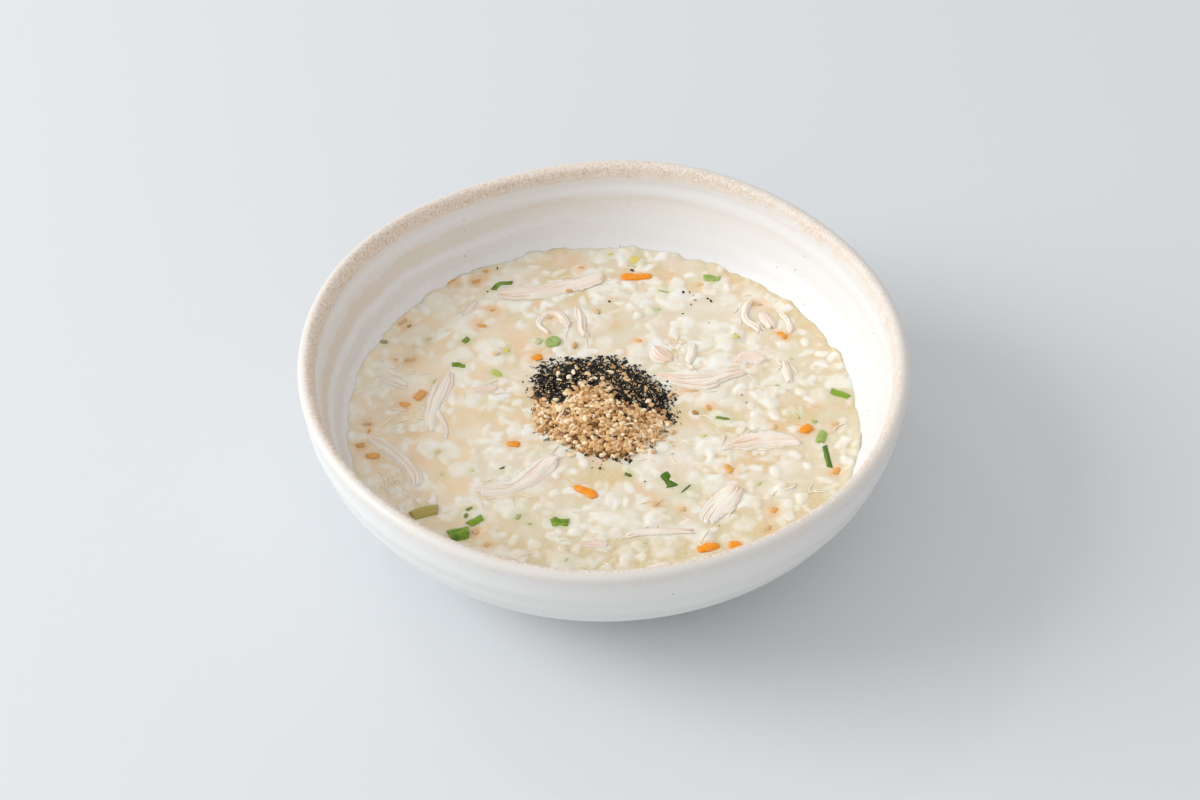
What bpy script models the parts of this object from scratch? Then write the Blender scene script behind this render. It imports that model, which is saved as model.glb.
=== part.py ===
"""Chicken congee in a hand-thrown stoneware bowl.

The bowl stands on its foot ring at z = 0 with its axis on Z, and +Y is the far side of the table.
Sizes below are in millimetres; add_object turns them into metres.
"""
import math

import bmesh
import bpy
import numpy as np

MM = 0.001

# Bowl: a turned wall of even thickness with a round lip and a foot ring
HEIGHT = 60.0
RIM_RADIUS = 100.0
WALL = 4.8
LIP_RADIUS = 2.4
BELLY_RADIUS = 65.0
BELLY_DEPTH = 52.0
BELLY_SPREAD = 34.5
BELLY_POWER = 2.5
LIP_DEPTH = 5.0
FLOOR_DEPTH = 53.0
FOOT_RADIUS = 48.5
FOOT_WIDTH = 5.0
FOOT_TOP_DEPTH = 55.3
FOOT_RECESS = 2.7
FOOT_CHAMFER = 0.8
# The underside curves from the foot ring to the belly, and the floor from its middle to the wall
UNDER_SHARES = (0.35, 0.7)
UNDER_POWER = 2.9
FLOOR_SHARES = (0.75, 0.4)
FLOOR_POWER = 7
SEGMENTS = 48

# Throwing rings left by the fingers on the inner wall
RING_PITCH = 7.0
RING_HEIGHT = 0.25

# Waviness of the rim, in mm, for two to five waves round the bowl (cosine, sine)
RIM_WAVES = {2: (0.22, 0.62), 3: (-0.52, 0.11), 4: (0.05, -0.33), 5: (0.46, 0.39)}

# Porridge
LEVEL = 30.4
TOUCH_GAP = 0.35
SWELL = 0.35
LEVEL_RINGS = 6

# Heaps of crushed seaweed and ground sesame, side by side in the middle
HEAP_CENTRE = (-1.0, 4.0)
HEAP_REACH = 21.9
HEAP_HEIGHT = 5.0
HEAP_SUNK = 1.2
HEAP_RINGS = 5
HEAP_SEGMENTS = 24
HEAP_POWER = 1.7
HEAP_BUMP = 0.4

# Waviness of the heap's foot, in mm, for one to six waves round it (cosine, sine)
HEAP_WAVES = {1: (-0.4, 0.3), 2: (-0.2, -1.5), 3: (0.3, 0.7), 4: (-0.4, 0.5), 5: (0.9, -0.3), 6: (-0.2, 0.4)}

# The line between the two heaps, from left to right
DIVIDE = [(-30, 9), (-24, 8.5), (-20, 5.5), (-16, 2.5), (-12, 4), (-8, 7.8), (-3, 8.8), (1, 6), (5, 2),
          (12, 0.2), (20, -0.5), (28, -1.5)]
DIVIDE_GAP = 0.28
DIVIDE_FRONT = -40
DIVIDE_REACH = 12

# Shreds: centre line (x, y) as they lie on the porridge and the width at each place
CHICKEN = {
    "chicken_long": [(-38, 61.5, 4), (-34, 61, 6.5), (-28, 61.5, 7), (-22, 62.5, 7), (-15, 64.5, 7.4),
                     (-8, 67, 7), (-2, 69.5, 6), (1, 70, 3)],
    "chicken_loop": [(-19, 40, 1.8), (-22.5, 46, 2), (-19.5, 51, 2.4), (-15.5, 50.5, 3), (-13.2, 46.5, 3.4),
                     (-12.2, 43, 2.6)],
    "chicken_upright": [(-9.5, 55, 2), (-8.2, 49, 3.2), (-7.6, 43, 3.2), (-6, 38.4, 2.2)],
    "chicken_forked": [(-52, 21.8, 2.2), (-53.3, 18, 6.2), (-54.4, 13, 7.2), (-55.8, 8, 7.2), (-57, 3, 5.6),
                       (-57.5, -2, 5), (-57.5, -8.5, 5)],
    "chicken_edge": [(-78.5, -10.5, 3), (-74, -13.5, 5), (-69, -18, 5.2), (-65, -23, 5), (-62, -28, 5),
                     (-61, -34, 3.4)],
    "chicken_folded": [(-42, -35.5, 4.5), (-36, -34.5, 7.4), (-30, -33.5, 6.6), (-26, -31, 7), (-22, -27, 8),
                       (-18.5, -22.5, 7.4), (-14.5, -19.5, 3.6)],
    "chicken_wide": [(17.4, 20, 2.8), (22, 19, 5), (26, 17.5, 8), (31, 17.3, 9.6), (36, 18, 9), (41, 19.5, 7),
                     (46, 21, 4.6), (49, 21, 3)],
    "chicken_corner": [(45.5, 27, 3), (48.5, 28.2, 6.2), (51.5, 28.4, 6.8), (55, 27.4, 3.4)],
    "chicken_slip": [(61.6, 27, 2), (62, 21.5, 3.2), (62.8, 15.8, 2)],
    "chicken_frayed": [(38, -16, 1.8), (42, -14.5, 4), (46, -13, 6.6), (51, -11.6, 8.6), (56, -11.2, 7.8),
                       (61, -11.6, 5.2), (66, -13, 2.6)],
    "chicken_curl": [(52.5, 57.3, 2), (50, 55, 2.4), (49, 50, 2.4), (49.6, 46.8, 2.4), (52, 44.2, 2.4),
                     (54, 41, 2)],
    "chicken_curl_core": [(54.8, 50.8, 3.4), (56.8, 47, 5.2), (58.2, 43, 3.2)],
    "chicken_curl_side": [(60.8, 51, 2), (63, 48, 2.4), (64.2, 44.4, 2.4), (64.2, 40.6, 1.8)],
    "chicken_flag": [(43.5, -33, 6), (41.5, -37, 8), (38, -41, 8.8), (35, -45, 8.2), (33, -49.2, 5.4)],
    "chicken_thin": [(29.4, -53, 2.4), (20, -52.9, 3), (11, -53.6, 3), (6, -55.6, 2)],
    "chicken_rosy": [(13, -70.5, 2.4), (17, -68.8, 4.6), (21.5, -68, 2.6)],
    "chicken_small": [(-8, -58.8, 2), (-3, -58.5, 3.2), (1.5, -59, 2)],
    "chicken_flake": [(16.8, 33.5, 4), (19.6, 29.8, 7), (23.2, 27, 4.6)],
    "chicken_flake_side": [(30.8, 34.8, 2.4), (29.6, 30, 3.6), (28.6, 25.6, 2.6)],
    "chicken_pale": [(-76, 20, 2.2), (-71.5, 16.5, 4.4), (-66, 13.5, 2.6)],
    "chicken_strand": [(-44.5, 57, 2), (-46.5, 53, 3.2), (-48.5, 49.5, 2)],
    "chicken_sunk": [(-43.5, 12.3, 2.4), (-39.5, 12.8, 4.2), (-35.5, 13.6, 2.4)],
}
# The forked shred's thin tail
FORK_TAIL = [(-56, 2.6, 2), (-53.8, -2.6, 2), (-52.6, -7.4, 2), (-53, -11.6, 1.8)]

# A shred's thickness: a least value and a share of its greatest width
SHRED_THICKNESS = 2.2
SHRED_THICKNESS_SHARE = 0.1
TAIL_THICKNESS = 2.0
# How far a strip's middle stands above the porridge, as a share of its thickness
SHRED_STAND = -0.1
SLAB_STAND = 0.2
# Width of a strip's end as a share of its own width there
SHRED_END = 0.7
SLAB_END = 0.7
SHRED_SPACING = 4.8
SLAB_SPACING = 3.0
SOCKET_HEIGHT = 6.0

# Knife-cut pieces: name, thickness, and centre line with its width
CARROT = [
    ("carrot_back", 2.0, [(6, 70, 3.6), (11.5, 69.9, 3.6), (17, 70.8, 3.6)]),
    ("carrot_front", 2.0, [(-10, -33.2, 3.4), (-6, -35.2, 3.4), (-2.2, -38, 3.4)]),
    ("carrot_edge", 2.0, [(29.6, -61.4, 3.4), (33, -60.5, 3.4), (36.8, -59.4, 3.4)]),
    ("carrot_cube", 2.2, [(40, -60.3, 4.4), (43.8, -59.6, 4.4)]),
    ("carrot_right", 2.2, [(65.6, -8, 3.8), (69, -5.2, 3.8)]),
    ("carrot_left", 2.0, [(-63, 7.6, 3.2), (-60.5, 12, 3.2)]),
]
SPRING_ONION = [
    ("onion_far_left", 0.9, [(-38, 63.6, 2.4), (-35.5, 66, 2.4), (-32, 66.4, 2.4)]),
    ("onion_far_right", 0.9, [(35.4, 69.8, 4), (40.6, 69.2, 4)]),
    ("onion_left", 0.9, [(-51.4, 25, 2.8), (-46.6, 24.4, 2.8)]),
    ("onion_right", 0.9, [(76.6, 12.2, 3.2), (82.6, 9.2, 3.2)]),
    ("onion_right_fold", 0.9, [(71.4, -12.6, 3), (73, -8.2, 3)]),
    ("onion_right_strip", 0.9, [(72.9, -14.6, 2.2), (74.2, -24, 2.2)]),
    ("onion_middle", 0.9, [(19.6, -27.6, 4.2), (22.4, -32.8, 4.2)]),
    ("onion_front", 0.9, [(-16.8, -48.8, 4.8), (-11.6, -48.6, 4.8)]),
    ("onion_front_left", 0.9, [(-49, -55, 5.4), (-43.6, -53.6, 5.4)]),
    ("onion_front_fold", 0.9, [(-43.4, -50, 3), (-39.4, -47.4, 3)]),
    ("onion_stalk", 1.4, [(-61.6, -46.4, 4.4), (-57.5, -44.6, 4.4), (-53.8, -43.6, 4.4)]),
]
# The one cross cut of a green stalk: a short ring
ONION_RING_PLACE = (-17.4, 36.0)
ONION_RING_RADIUS = 2.4
ONION_RING_WALL = 0.9
ONION_RING_HEIGHT = 2.2


def new_material(name, colour, roughness):
    """A plain Principled material; colour is linear RGB."""
    material = bpy.data.materials.new(name)
    material.use_nodes = True
    shader = material.node_tree.nodes["Principled BSDF"]
    shader.inputs["Base Color"].default_value = (*colour, 1.0)
    shader.inputs["Roughness"].default_value = roughness
    shader.inputs["Metallic"].default_value = 0.0
    return material


def add_object(name, points, faces, material=None):
    """One closed mesh object from points in millimetres, faces turned outward."""
    mesh = bpy.data.meshes.new(name)
    scaled = [tuple(float(value) * MM for value in point) for point in points]
    mesh.from_pydata(scaled, [], faces)
    working = bmesh.new()
    working.from_mesh(mesh)
    bmesh.ops.recalc_face_normals(working, faces=working.faces)
    working.to_mesh(mesh)
    working.free()
    mesh.shade_smooth()
    mesh.set_sharp_from_angle(angle=math.radians(40))
    item = bpy.data.objects.new(name, mesh)
    bpy.context.scene.collection.objects.link(item)
    if material:
        mesh.materials.append(material)
    return item


def as_cutter(item):
    """Mark an object as a tool for Booleans, not a piece of the model."""
    item.hide_render = True
    item.display_type = "WIRE"
    return item


def combine(target, tool, operation):
    """Join, cut or keep the overlap of target with a tool."""
    modifier = target.modifiers.new(f"{operation.title()} {tool.name}", "BOOLEAN")
    modifier.operation = operation
    modifier.solver = "EXACT"
    modifier.object = tool


def turned(profile, segments):
    """Points and faces of a profile turned about Z; both its ends lie on the axis."""
    angles = np.arange(segments) * 2 * math.pi / segments
    body = np.array(profile[1:-1])
    ring = np.stack([np.cos(angles), np.sin(angles)], axis=1)
    points = [(0.0, 0.0, profile[0][1]), (0.0, 0.0, profile[-1][1])]
    for radius, height in body:
        points += [(radius * x, radius * y, height) for x, y in ring]
    faces = []
    last = 2 + (len(body) - 1) * segments
    for i in range(segments):
        j = (i + 1) % segments
        faces.append((0, 2 + j, 2 + i))
        faces.append((1, last + i, last + j))
        for level in range(len(body) - 1):
            here = 2 + level * segments
            faces.append((here + i, here + j, here + segments + j, here + segments + i))
    return np.array(points), faces


def outer_wall(depth):
    """Radius and slope of the outer wall at a depth below the rim."""
    share = depth / BELLY_DEPTH
    radius = BELLY_RADIUS + BELLY_SPREAD * (1 - share ** BELLY_POWER)
    slope = -BELLY_SPREAD * BELLY_POWER / BELLY_DEPTH * share ** (BELLY_POWER - 1)
    return radius, slope


def inner_wall(depth, inset=0.0):
    """The inner wall's point (radius, z): the outer wall moved in by the wall's thickness."""
    radius, slope = outer_wall(depth)
    run = math.hypot(1.0, slope)
    reach = (WALL + inset) / run
    return radius - reach, HEIGHT - (depth + slope * reach)


def inner_floor(share, inset=0.0):
    """The inner floor's point, from the axis (share 0) to the foot of the wall (share 1)."""
    edge_radius, edge_z = inner_wall(BELLY_DEPTH, inset)
    floor_z = HEIGHT - FLOOR_DEPTH + inset
    return edge_radius * share, floor_z + (edge_z - floor_z) * share ** FLOOR_POWER


def rim_wave(angle):
    """How far the rim stands above its mean height at an angle round the bowl."""
    return sum(a * np.cos(k * angle) + b * np.sin(k * angle) for k, (a, b) in RIM_WAVES.items())


def settle(points):
    """Lift or drop points with the rim's waviness, which dies out toward the foot."""
    moved = np.array(points, dtype=float)
    angle = np.arctan2(moved[:, 1], moved[:, 0])
    moved[:, 2] += rim_wave(angle) * (moved[:, 2] / HEIGHT) ** 2
    return moved


def bowl_profile():
    """Outline of the turned bowl from the underside's centre round the lip to the floor's centre."""
    foot_inner = FOOT_RADIUS - FOOT_WIDTH
    outline = [(0.0, FOOT_RECESS), (foot_inner - FOOT_CHAMFER, FOOT_RECESS)]
    outline += [(foot_inner, 0.0), (FOOT_RADIUS - FOOT_CHAMFER, 0.0), (FOOT_RADIUS, FOOT_CHAMFER)]
    foot_top = HEIGHT - FOOT_TOP_DEPTH
    outline.append((FOOT_RADIUS, foot_top))
    belly_z = HEIGHT - BELLY_DEPTH
    for share in UNDER_SHARES:
        radius = FOOT_RADIUS + (BELLY_RADIUS - FOOT_RADIUS) * share
        outline.append((radius, foot_top + (belly_z - foot_top) * share ** UNDER_POWER))
    for depth in np.linspace(BELLY_DEPTH, LIP_DEPTH, 10):
        outline.append((outer_wall(depth)[0], HEIGHT - depth))
    lip_centre = RIM_RADIUS - LIP_RADIUS
    for turn in np.linspace(0, math.pi, 7):
        outline.append((lip_centre + LIP_RADIUS * math.cos(turn),
                        HEIGHT - LIP_RADIUS + LIP_RADIUS * math.sin(turn)))
    wet_depth = HEIGHT - LEVEL
    for depth in np.linspace(LIP_DEPTH, wet_depth, 13):
        radius, z = inner_wall(depth)
        outline.append((radius + RING_HEIGHT * math.sin(2 * math.pi * depth / RING_PITCH), z))
    for depth in wet_depths():
        outline.append(inner_wall(depth))
    for share in FLOOR_SHARES:
        outline.append(inner_floor(share))
    outline.append(inner_floor(0.0))
    return outline


def wet_depths():
    """Depths along the wall below the porridge's level."""
    return np.linspace(HEIGHT - LEVEL + 4.5, BELLY_DEPTH, 5)


def make_bowl(material):
    """The stoneware bowl, one turned piece."""
    points, faces = turned(bowl_profile(), SEGMENTS)
    return add_object("bowl", settle(points), faces, material)


def surface_height(x, y):
    """Height of the uneven porridge at a place."""
    swell = math.sin(0.11 * x + 0.9) * math.cos(0.13 * y - 0.4)
    ripple = math.sin(0.05 * x - 0.17 * y + 2.1)
    return LEVEL + SWELL * (0.6 * swell + 0.4 * ripple)


def wall_radius_at(z, inset):
    """Radius of the inner wall at a height, found along the wall by halving."""
    low, high = LIP_DEPTH, BELLY_DEPTH
    for _ in range(40):
        middle = (low + high) / 2
        if inner_wall(middle, inset)[1] > z:
            low = middle
        else:
            high = middle
    return inner_wall(low, inset)[0]


def make_porridge(material):
    """The porridge, filling the bowl up to its level a hair clear of the wall."""
    edge = wall_radius_at(LEVEL, TOUCH_GAP + RING_HEIGHT)
    outline = [inner_floor(0.0, TOUCH_GAP)]
    outline += [inner_floor(share, TOUCH_GAP) for share in FLOOR_SHARES[::-1]]
    outline += [inner_wall(depth, TOUCH_GAP) for depth in wet_depths()[::-1]]
    outline += [(edge * (1 - ring / LEVEL_RINGS), LEVEL) for ring in range(LEVEL_RINGS)]
    outline.append((0.0, LEVEL))
    points, faces = turned(outline, SEGMENTS)
    points = settle(points)
    on_top = points[:, 2] > LEVEL - 1
    points[on_top, 2] = [surface_height(x, y) for x, y in points[on_top, :2]]
    return add_object("congee", points, faces, material)


def heap_reach(angles):
    """Radius of the heap's uneven foot at angles round its middle."""
    waves = [a * np.cos(k * angles) + b * np.sin(k * angles) for k, (a, b) in HEAP_WAVES.items()]
    return HEAP_REACH + sum(waves)


def heap_points(grow, top):
    """A low uneven dome on a nearly round foot; with top it is a straight-sided plug instead."""
    angles = np.arange(HEAP_SEGMENTS) * 2 * math.pi / HEAP_SEGMENTS
    reach = heap_reach(angles) + grow
    foot = LEVEL - HEAP_SUNK - grow
    points = [(*HEAP_CENTRE, foot), (*HEAP_CENTRE, top or LEVEL + HEAP_HEIGHT)]
    shares = [1.0] + [1 - ring / HEAP_RINGS for ring in range(HEAP_RINGS)]
    for ring, share in enumerate(shares):
        x = HEAP_CENTRE[0] + reach * share * np.cos(angles)
        y = HEAP_CENTRE[1] + reach * share * np.sin(angles)
        bumps = HEAP_BUMP * np.sin(0.55 * x + 0.8) * np.cos(0.6 * y)
        dome = LEVEL + HEAP_HEIGHT * (1 - share ** HEAP_POWER) + bumps * (1 - share)
        z = np.full(HEAP_SEGMENTS, foot) if ring == 0 else dome
        if top and ring:
            z = np.full(HEAP_SEGMENTS, top)
        points += list(zip(x, y, z))
    return points


def heap_faces():
    """Faces of the dome: foot, side, rings and crown."""
    faces = []
    last = 2 + HEAP_RINGS * HEAP_SEGMENTS
    for i in range(HEAP_SEGMENTS):
        j = (i + 1) % HEAP_SEGMENTS
        faces.append((0, 2 + j, 2 + i))
        faces.append((1, last + i, last + j))
        for ring in range(HEAP_RINGS):
            here = 2 + ring * HEAP_SEGMENTS
            faces.append((here + i, here + j, here + HEAP_SEGMENTS + j, here + HEAP_SEGMENTS + i))
    return faces


def divider(shift):
    """A tall block in front of the line between the two heaps, moved back by shift."""
    front = DIVIDE_FRONT
    outline = [(DIVIDE[-1][0], front), *[(x, y + shift) for x, y in DIVIDE[::-1]], (DIVIDE[0][0], front)]
    low, high = LEVEL - DIVIDE_REACH, LEVEL + DIVIDE_REACH
    points = [(x, y, low) for x, y in outline] + [(x, y, high) for x, y in outline]
    count = len(outline)
    faces = [tuple(range(count)), tuple(range(count, 2 * count))]
    for i in range(count):
        j = (i + 1) % count
        faces.append((i, j, count + j, count + i))
    return as_cutter(add_object(f"divider_{shift:.2f}", points, faces))


def make_heaps(seaweed_material, sesame_material):
    """Crushed seaweed behind and ground sesame in front, parted along the dividing line."""
    seaweed = add_object("seaweed_heap", heap_points(0, None), heap_faces(), seaweed_material)
    combine(seaweed, divider(DIVIDE_GAP), "DIFFERENCE")
    sesame = add_object("sesame_heap", heap_points(0, None), heap_faces(), sesame_material)
    combine(sesame, divider(-DIVIDE_GAP), "INTERSECT")


def smooth_line(places, spacing):
    """Even stations on a smooth curve through the places: x, y and width."""
    way = np.array(places, dtype=float)
    ends = np.vstack([2 * way[0] - way[1], way, 2 * way[-1] - way[-2]])
    dense = []
    for k in range(1, len(ends) - 2):
        before, start, end, after = ends[k - 1:k + 3]
        for t in np.linspace(0, 1, 12, endpoint=False):
            pull = (2 * start + (end - before) * t + (2 * before - 5 * start + 4 * end - after) * t ** 2
                    + (3 * start - before - 3 * end + after) * t ** 3)
            dense.append(pull / 2)
    dense = np.vstack([dense, way[-1]])
    run = np.concatenate([[0], np.cumsum(np.linalg.norm(np.diff(dense[:, :2], axis=0), axis=1))])
    stations = np.linspace(0, run[-1], max(3, round(run[-1] / spacing) + 1))
    return np.stack([np.interp(stations, run, dense[:, i]) for i in range(3)], axis=1)


def strip(places, thickness, section, stand, end_share, spacing, reach=0.0):
    """Points and faces of a strip with a given cross-section carried along its line.

    stand lifts its middle by a share of the thickness; reach moves both ends out, for the socket
    that a strip lies in.
    """
    stations = smooth_line(places, spacing)
    line, widths = stations[:, :2], stations[:, 2]
    ahead = np.gradient(line, axis=0)
    ahead /= np.linalg.norm(ahead, axis=1, keepdims=True)
    share = np.linspace(-1, 1, len(line))
    taper = end_share + (1 - end_share) * np.sqrt(np.maximum(0, 1 - np.abs(share) ** 3))
    heights = [surface_height(x, y) + thickness * stand for x, y in line]
    line[0] -= ahead[0] * reach
    line[-1] += ahead[-1] * reach
    points = []
    for (x, y), (dx, dy), width, scale, centre in zip(line, ahead, widths, taper, heights):
        for across, up in section(width * scale, thickness * (0.6 + 0.4 * scale)):
            points.append((x - dy * across, y + dx * across, centre + up))
    count = len(section(1, 1))
    faces = [tuple(range(count))]
    faces.append(tuple(range(len(points) - count, len(points))))
    for k in range(len(line) - 1):
        for i in range(count):
            j = (i + 1) % count
            faces.append((k * count + i, k * count + j, (k + 1) * count + j, (k + 1) * count + i))
    return points, faces


def shred_section(width, thickness):
    """A flattened six-sided oval."""
    half, flat, rise = width / 2, width / 3.4, thickness / 2
    return [(half, 0), (flat, rise), (-flat, rise), (-half, 0), (-flat, -rise), (flat, -rise)]


def slab_section(width, thickness):
    """A flat oblong, as cut by a knife."""
    half, rise = width / 2, thickness / 2
    return [(half, -rise), (half, rise), (-half, rise), (-half, -rise)]


def socket_section(width, thickness):
    """The room that a strip takes up in the porridge: clear all round and open to the top."""
    half, flat, rise = width / 2 + TOUCH_GAP, width / 3.4 + TOUCH_GAP, thickness / 2 + TOUCH_GAP
    sides = [(half, 0), (half, SOCKET_HEIGHT), (-half, SOCKET_HEIGHT), (-half, 0)]
    return sides + [(-flat, -rise), (flat, -rise)]


def slab_socket_section(width, thickness):
    """The room that a cut slab takes up in the porridge."""
    half, rise = width / 2 + TOUCH_GAP, thickness / 2 + TOUCH_GAP
    return [(half, -rise), (half, SOCKET_HEIGHT), (-half, SOCKET_HEIGHT), (-half, -rise)]


def bed_strip(name, places, thickness, sections, settings, porridge):
    """A strip and the socket cut for it in the porridge; returns the strip."""
    body, socket = sections
    item = add_object(name, *strip(places, thickness, body, *settings))
    room = add_object(f"socket_{name}", *strip(places, thickness, socket, *settings, TOUCH_GAP))
    combine(porridge, as_cutter(room), "DIFFERENCE")
    return item


def make_shreds(material, porridge):
    """Pulled chicken, each shred bedded in the porridge; the forked one has a thin tail joined on."""
    sections = (shred_section, socket_section)
    settings = (SHRED_STAND, SHRED_END, SHRED_SPACING)
    tail = bed_strip("fork_tail", FORK_TAIL, TAIL_THICKNESS, sections, settings, porridge)
    as_cutter(tail)
    for name, places in CHICKEN.items():
        widest = max(width for _, _, width in places)
        thickness = SHRED_THICKNESS + SHRED_THICKNESS_SHARE * widest
        shred = bed_strip(name, places, thickness, sections, settings, porridge)
        shred.data.materials.append(material)
        if name == "chicken_forked":
            combine(shred, tail, "UNION")


def make_slabs(table, material, porridge):
    """Knife-cut vegetable pieces lying on the porridge."""
    sections = (slab_section, slab_socket_section)
    settings = (SLAB_STAND, SLAB_END, SLAB_SPACING)
    for name, thickness, places in table:
        slab = bed_strip(name, places, thickness, sections, settings, porridge)
        slab.data.materials.append(material)


def ring_shape(outer, inner, low, high):
    """Points and faces of an upright ring, or of a plain plug where inner is zero."""
    segments = 12
    angles = np.arange(segments) * 2 * math.pi / segments
    centre = np.array(ONION_RING_PLACE)
    points = []
    for radius, z in ((outer, low), (outer, high), (inner, high), (inner, low)):
        if radius:
            points += [(*(centre + radius * np.array([math.cos(a), math.sin(a)])), z) for a in angles]
    rings = len(points) // segments
    faces = []
    for k in range(rings if inner else 1):
        here, there = k * segments, (k + 1) % rings * segments
        for i in range(segments):
            j = (i + 1) % segments
            faces.append((here + i, here + j, there + j, there + i))
    if not inner:
        faces += [tuple(range(segments)), tuple(range(segments, 2 * segments))]
    return points, faces


def make_onion_ring(material, porridge):
    """A cross cut of a hollow green stalk, standing in the porridge."""
    low = surface_height(*ONION_RING_PLACE) - ONION_RING_HEIGHT * 0.3
    high = low + ONION_RING_HEIGHT
    inner = ONION_RING_RADIUS - ONION_RING_WALL
    add_object("onion_ring", *ring_shape(ONION_RING_RADIUS, inner, low, high), material)
    plug = ring_shape(ONION_RING_RADIUS + TOUCH_GAP, 0, low - TOUCH_GAP, high + 4)
    combine(porridge, as_cutter(add_object("socket_onion_ring", *plug)), "DIFFERENCE")


def build():
    """Clear the scene and make every piece."""
    for item in list(bpy.data.objects):
        bpy.data.objects.remove(item, do_unlink=True)
    stoneware = new_material("stoneware", (0.80, 0.78, 0.74), 0.45)
    porridge_white = new_material("rice_porridge", (0.71, 0.66, 0.50), 0.25)
    meat = new_material("chicken", (0.75, 0.60, 0.50), 0.40)
    orange = new_material("carrot", (0.88, 0.25, 0.02), 0.35)
    green = new_material("spring_onion", (0.10, 0.27, 0.03), 0.40)
    black = new_material("seaweed", (0.010, 0.012, 0.010), 0.60)
    golden = new_material("sesame", (0.55, 0.36, 0.17), 0.60)
    make_bowl(stoneware)
    porridge = make_porridge(porridge_white)
    make_heaps(black, golden)
    plug = add_object("socket_heap", heap_points(TOUCH_GAP, LEVEL + 8), heap_faces())
    combine(porridge, as_cutter(plug), "DIFFERENCE")
    make_shreds(meat, porridge)
    make_slabs(CARROT, orange, porridge)
    make_slabs(SPRING_ONION, green, porridge)
    make_onion_ring(green, porridge)


build()
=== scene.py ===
# %% [markdown]
# # A bowl of chicken congee
# Congee is rice boiled until the grains swell, soften and begin to melt into the liquid. Here it fills a
# hand-thrown stoneware bowl, with pulled chicken, carrot and spring onion cooked in, and a spoonful of
# crushed seaweed and ground sesame on top. The solids of every piece come in first, as a fixed frame.
# Each step after that makes the fine surface of one kind of thing, in its real place and size.

# %% Load the frame
import math

import bpy
import numpy as np
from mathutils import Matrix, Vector


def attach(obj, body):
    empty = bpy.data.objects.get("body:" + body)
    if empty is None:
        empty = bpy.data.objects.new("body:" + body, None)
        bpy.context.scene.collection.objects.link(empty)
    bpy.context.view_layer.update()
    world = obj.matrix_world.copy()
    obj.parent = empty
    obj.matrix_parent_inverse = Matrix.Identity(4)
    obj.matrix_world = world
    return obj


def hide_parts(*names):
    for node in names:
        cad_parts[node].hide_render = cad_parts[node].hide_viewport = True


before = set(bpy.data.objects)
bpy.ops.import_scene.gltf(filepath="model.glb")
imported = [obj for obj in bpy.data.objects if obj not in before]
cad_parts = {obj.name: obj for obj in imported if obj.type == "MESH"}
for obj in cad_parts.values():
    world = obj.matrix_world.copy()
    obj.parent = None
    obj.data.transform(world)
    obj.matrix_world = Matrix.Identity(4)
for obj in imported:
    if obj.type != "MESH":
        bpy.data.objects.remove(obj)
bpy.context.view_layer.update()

# %% [markdown]
# ## Units and two small tools
# All sizes below are in millimetres, and one function turns a piece into metres as it is made. A mesh
# could be typed in vertex by vertex, but a numpy array holds thousands of points at once, and
# `foreach_set` hands the whole array to Blender in one go.

# %% Sizes and the mesh maker
MM = 0.001
HEIGHT = 60.0
LEVEL = 30.4


def make_piece(name, points, faces, material, replaced=(), values=None):
    """One mesh piece: points in mm, a list of face arrays (each of one corner count), and its marks.

    values holds named numbers or colours for each point, which the materials read as attributes.
    """
    mesh = bpy.data.meshes.new(name)
    points = np.asarray(points, dtype=np.float64).reshape(-1, 3) * MM
    mesh.vertices.add(len(points))
    mesh.vertices.foreach_set("co", points.astype(np.float32).ravel())
    corners = np.concatenate([np.asarray(f).ravel() for f in faces]).astype(np.int32)
    counts = np.concatenate([np.full(len(f), np.asarray(f).shape[1]) for f in faces])
    mesh.loops.add(len(corners))
    mesh.loops.foreach_set("vertex_index", corners)
    mesh.polygons.add(len(counts))
    starts = np.concatenate([[0], np.cumsum(counts)[:-1]]).astype(np.int32)
    mesh.polygons.foreach_set("loop_start", starts)
    mesh.update(calc_edges=True)
    for key, numbers in (values or {}).items():
        numbers = np.asarray(numbers, dtype=np.float32)
        colours = numbers.ndim == 2
        layer = mesh.attributes.new(key, "FLOAT_COLOR" if colours else "FLOAT", "POINT")
        layer.data.foreach_set("color" if colours else "value", numbers.ravel())
    mesh.validate()
    mesh.shade_smooth()
    mesh.materials.append(material)
    piece = bpy.data.objects.new(name, mesh)
    bpy.context.scene.collection.objects.link(piece)
    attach(piece, "root")
    if replaced:
        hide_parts(*replaced)
    triangles = int((counts - 2).sum())
    print(f"{name}: {len(points)} points, {triangles} triangles")
    return piece


# %% [markdown]
# ## Noise on arrays
# Food is uneven at every size. Lattice noise is a table of random numbers, read between its entries with
# a smooth step. Two or three of them at doubling fineness give a natural mix of large and small bumps.

# %% Lattice noise
def lattice_noise(u, v, seed):
    """Smooth random values from -1 to 1; one lattice cell for each whole step of u and v."""
    table = np.random.default_rng(seed).uniform(-1, 1, (64, 64))
    iu, iv = np.floor(u).astype(int), np.floor(v).astype(int)
    fu, fv = u - iu, v - iv
    fu, fv = fu * fu * (3 - 2 * fu), fv * fv * (3 - 2 * fv)
    a, b = table[iu % 64, iv % 64], table[(iu + 1) % 64, iv % 64]
    c, d = table[iu % 64, (iv + 1) % 64], table[(iu + 1) % 64, (iv + 1) % 64]
    return (a * (1 - fu) + b * fu) * (1 - fv) + (c * (1 - fu) + d * fu) * fv


def rough_noise(u, v, seed, layers=3):
    """Several lattice noises added, each twice as fine and half as strong as the last."""
    total = 0.0
    for k in range(layers):
        total = total + lattice_noise(u * 2 ** k + 7.3 * k, v * 2 ** k + 3.1 * k, seed + k) * 0.5 ** k
    return total / (2 - 0.5 ** (layers - 1))


def ring_angles(count):
    """Even angles all round a ring, from 0."""
    return np.arange(count) * 2 * math.pi / count


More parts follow.
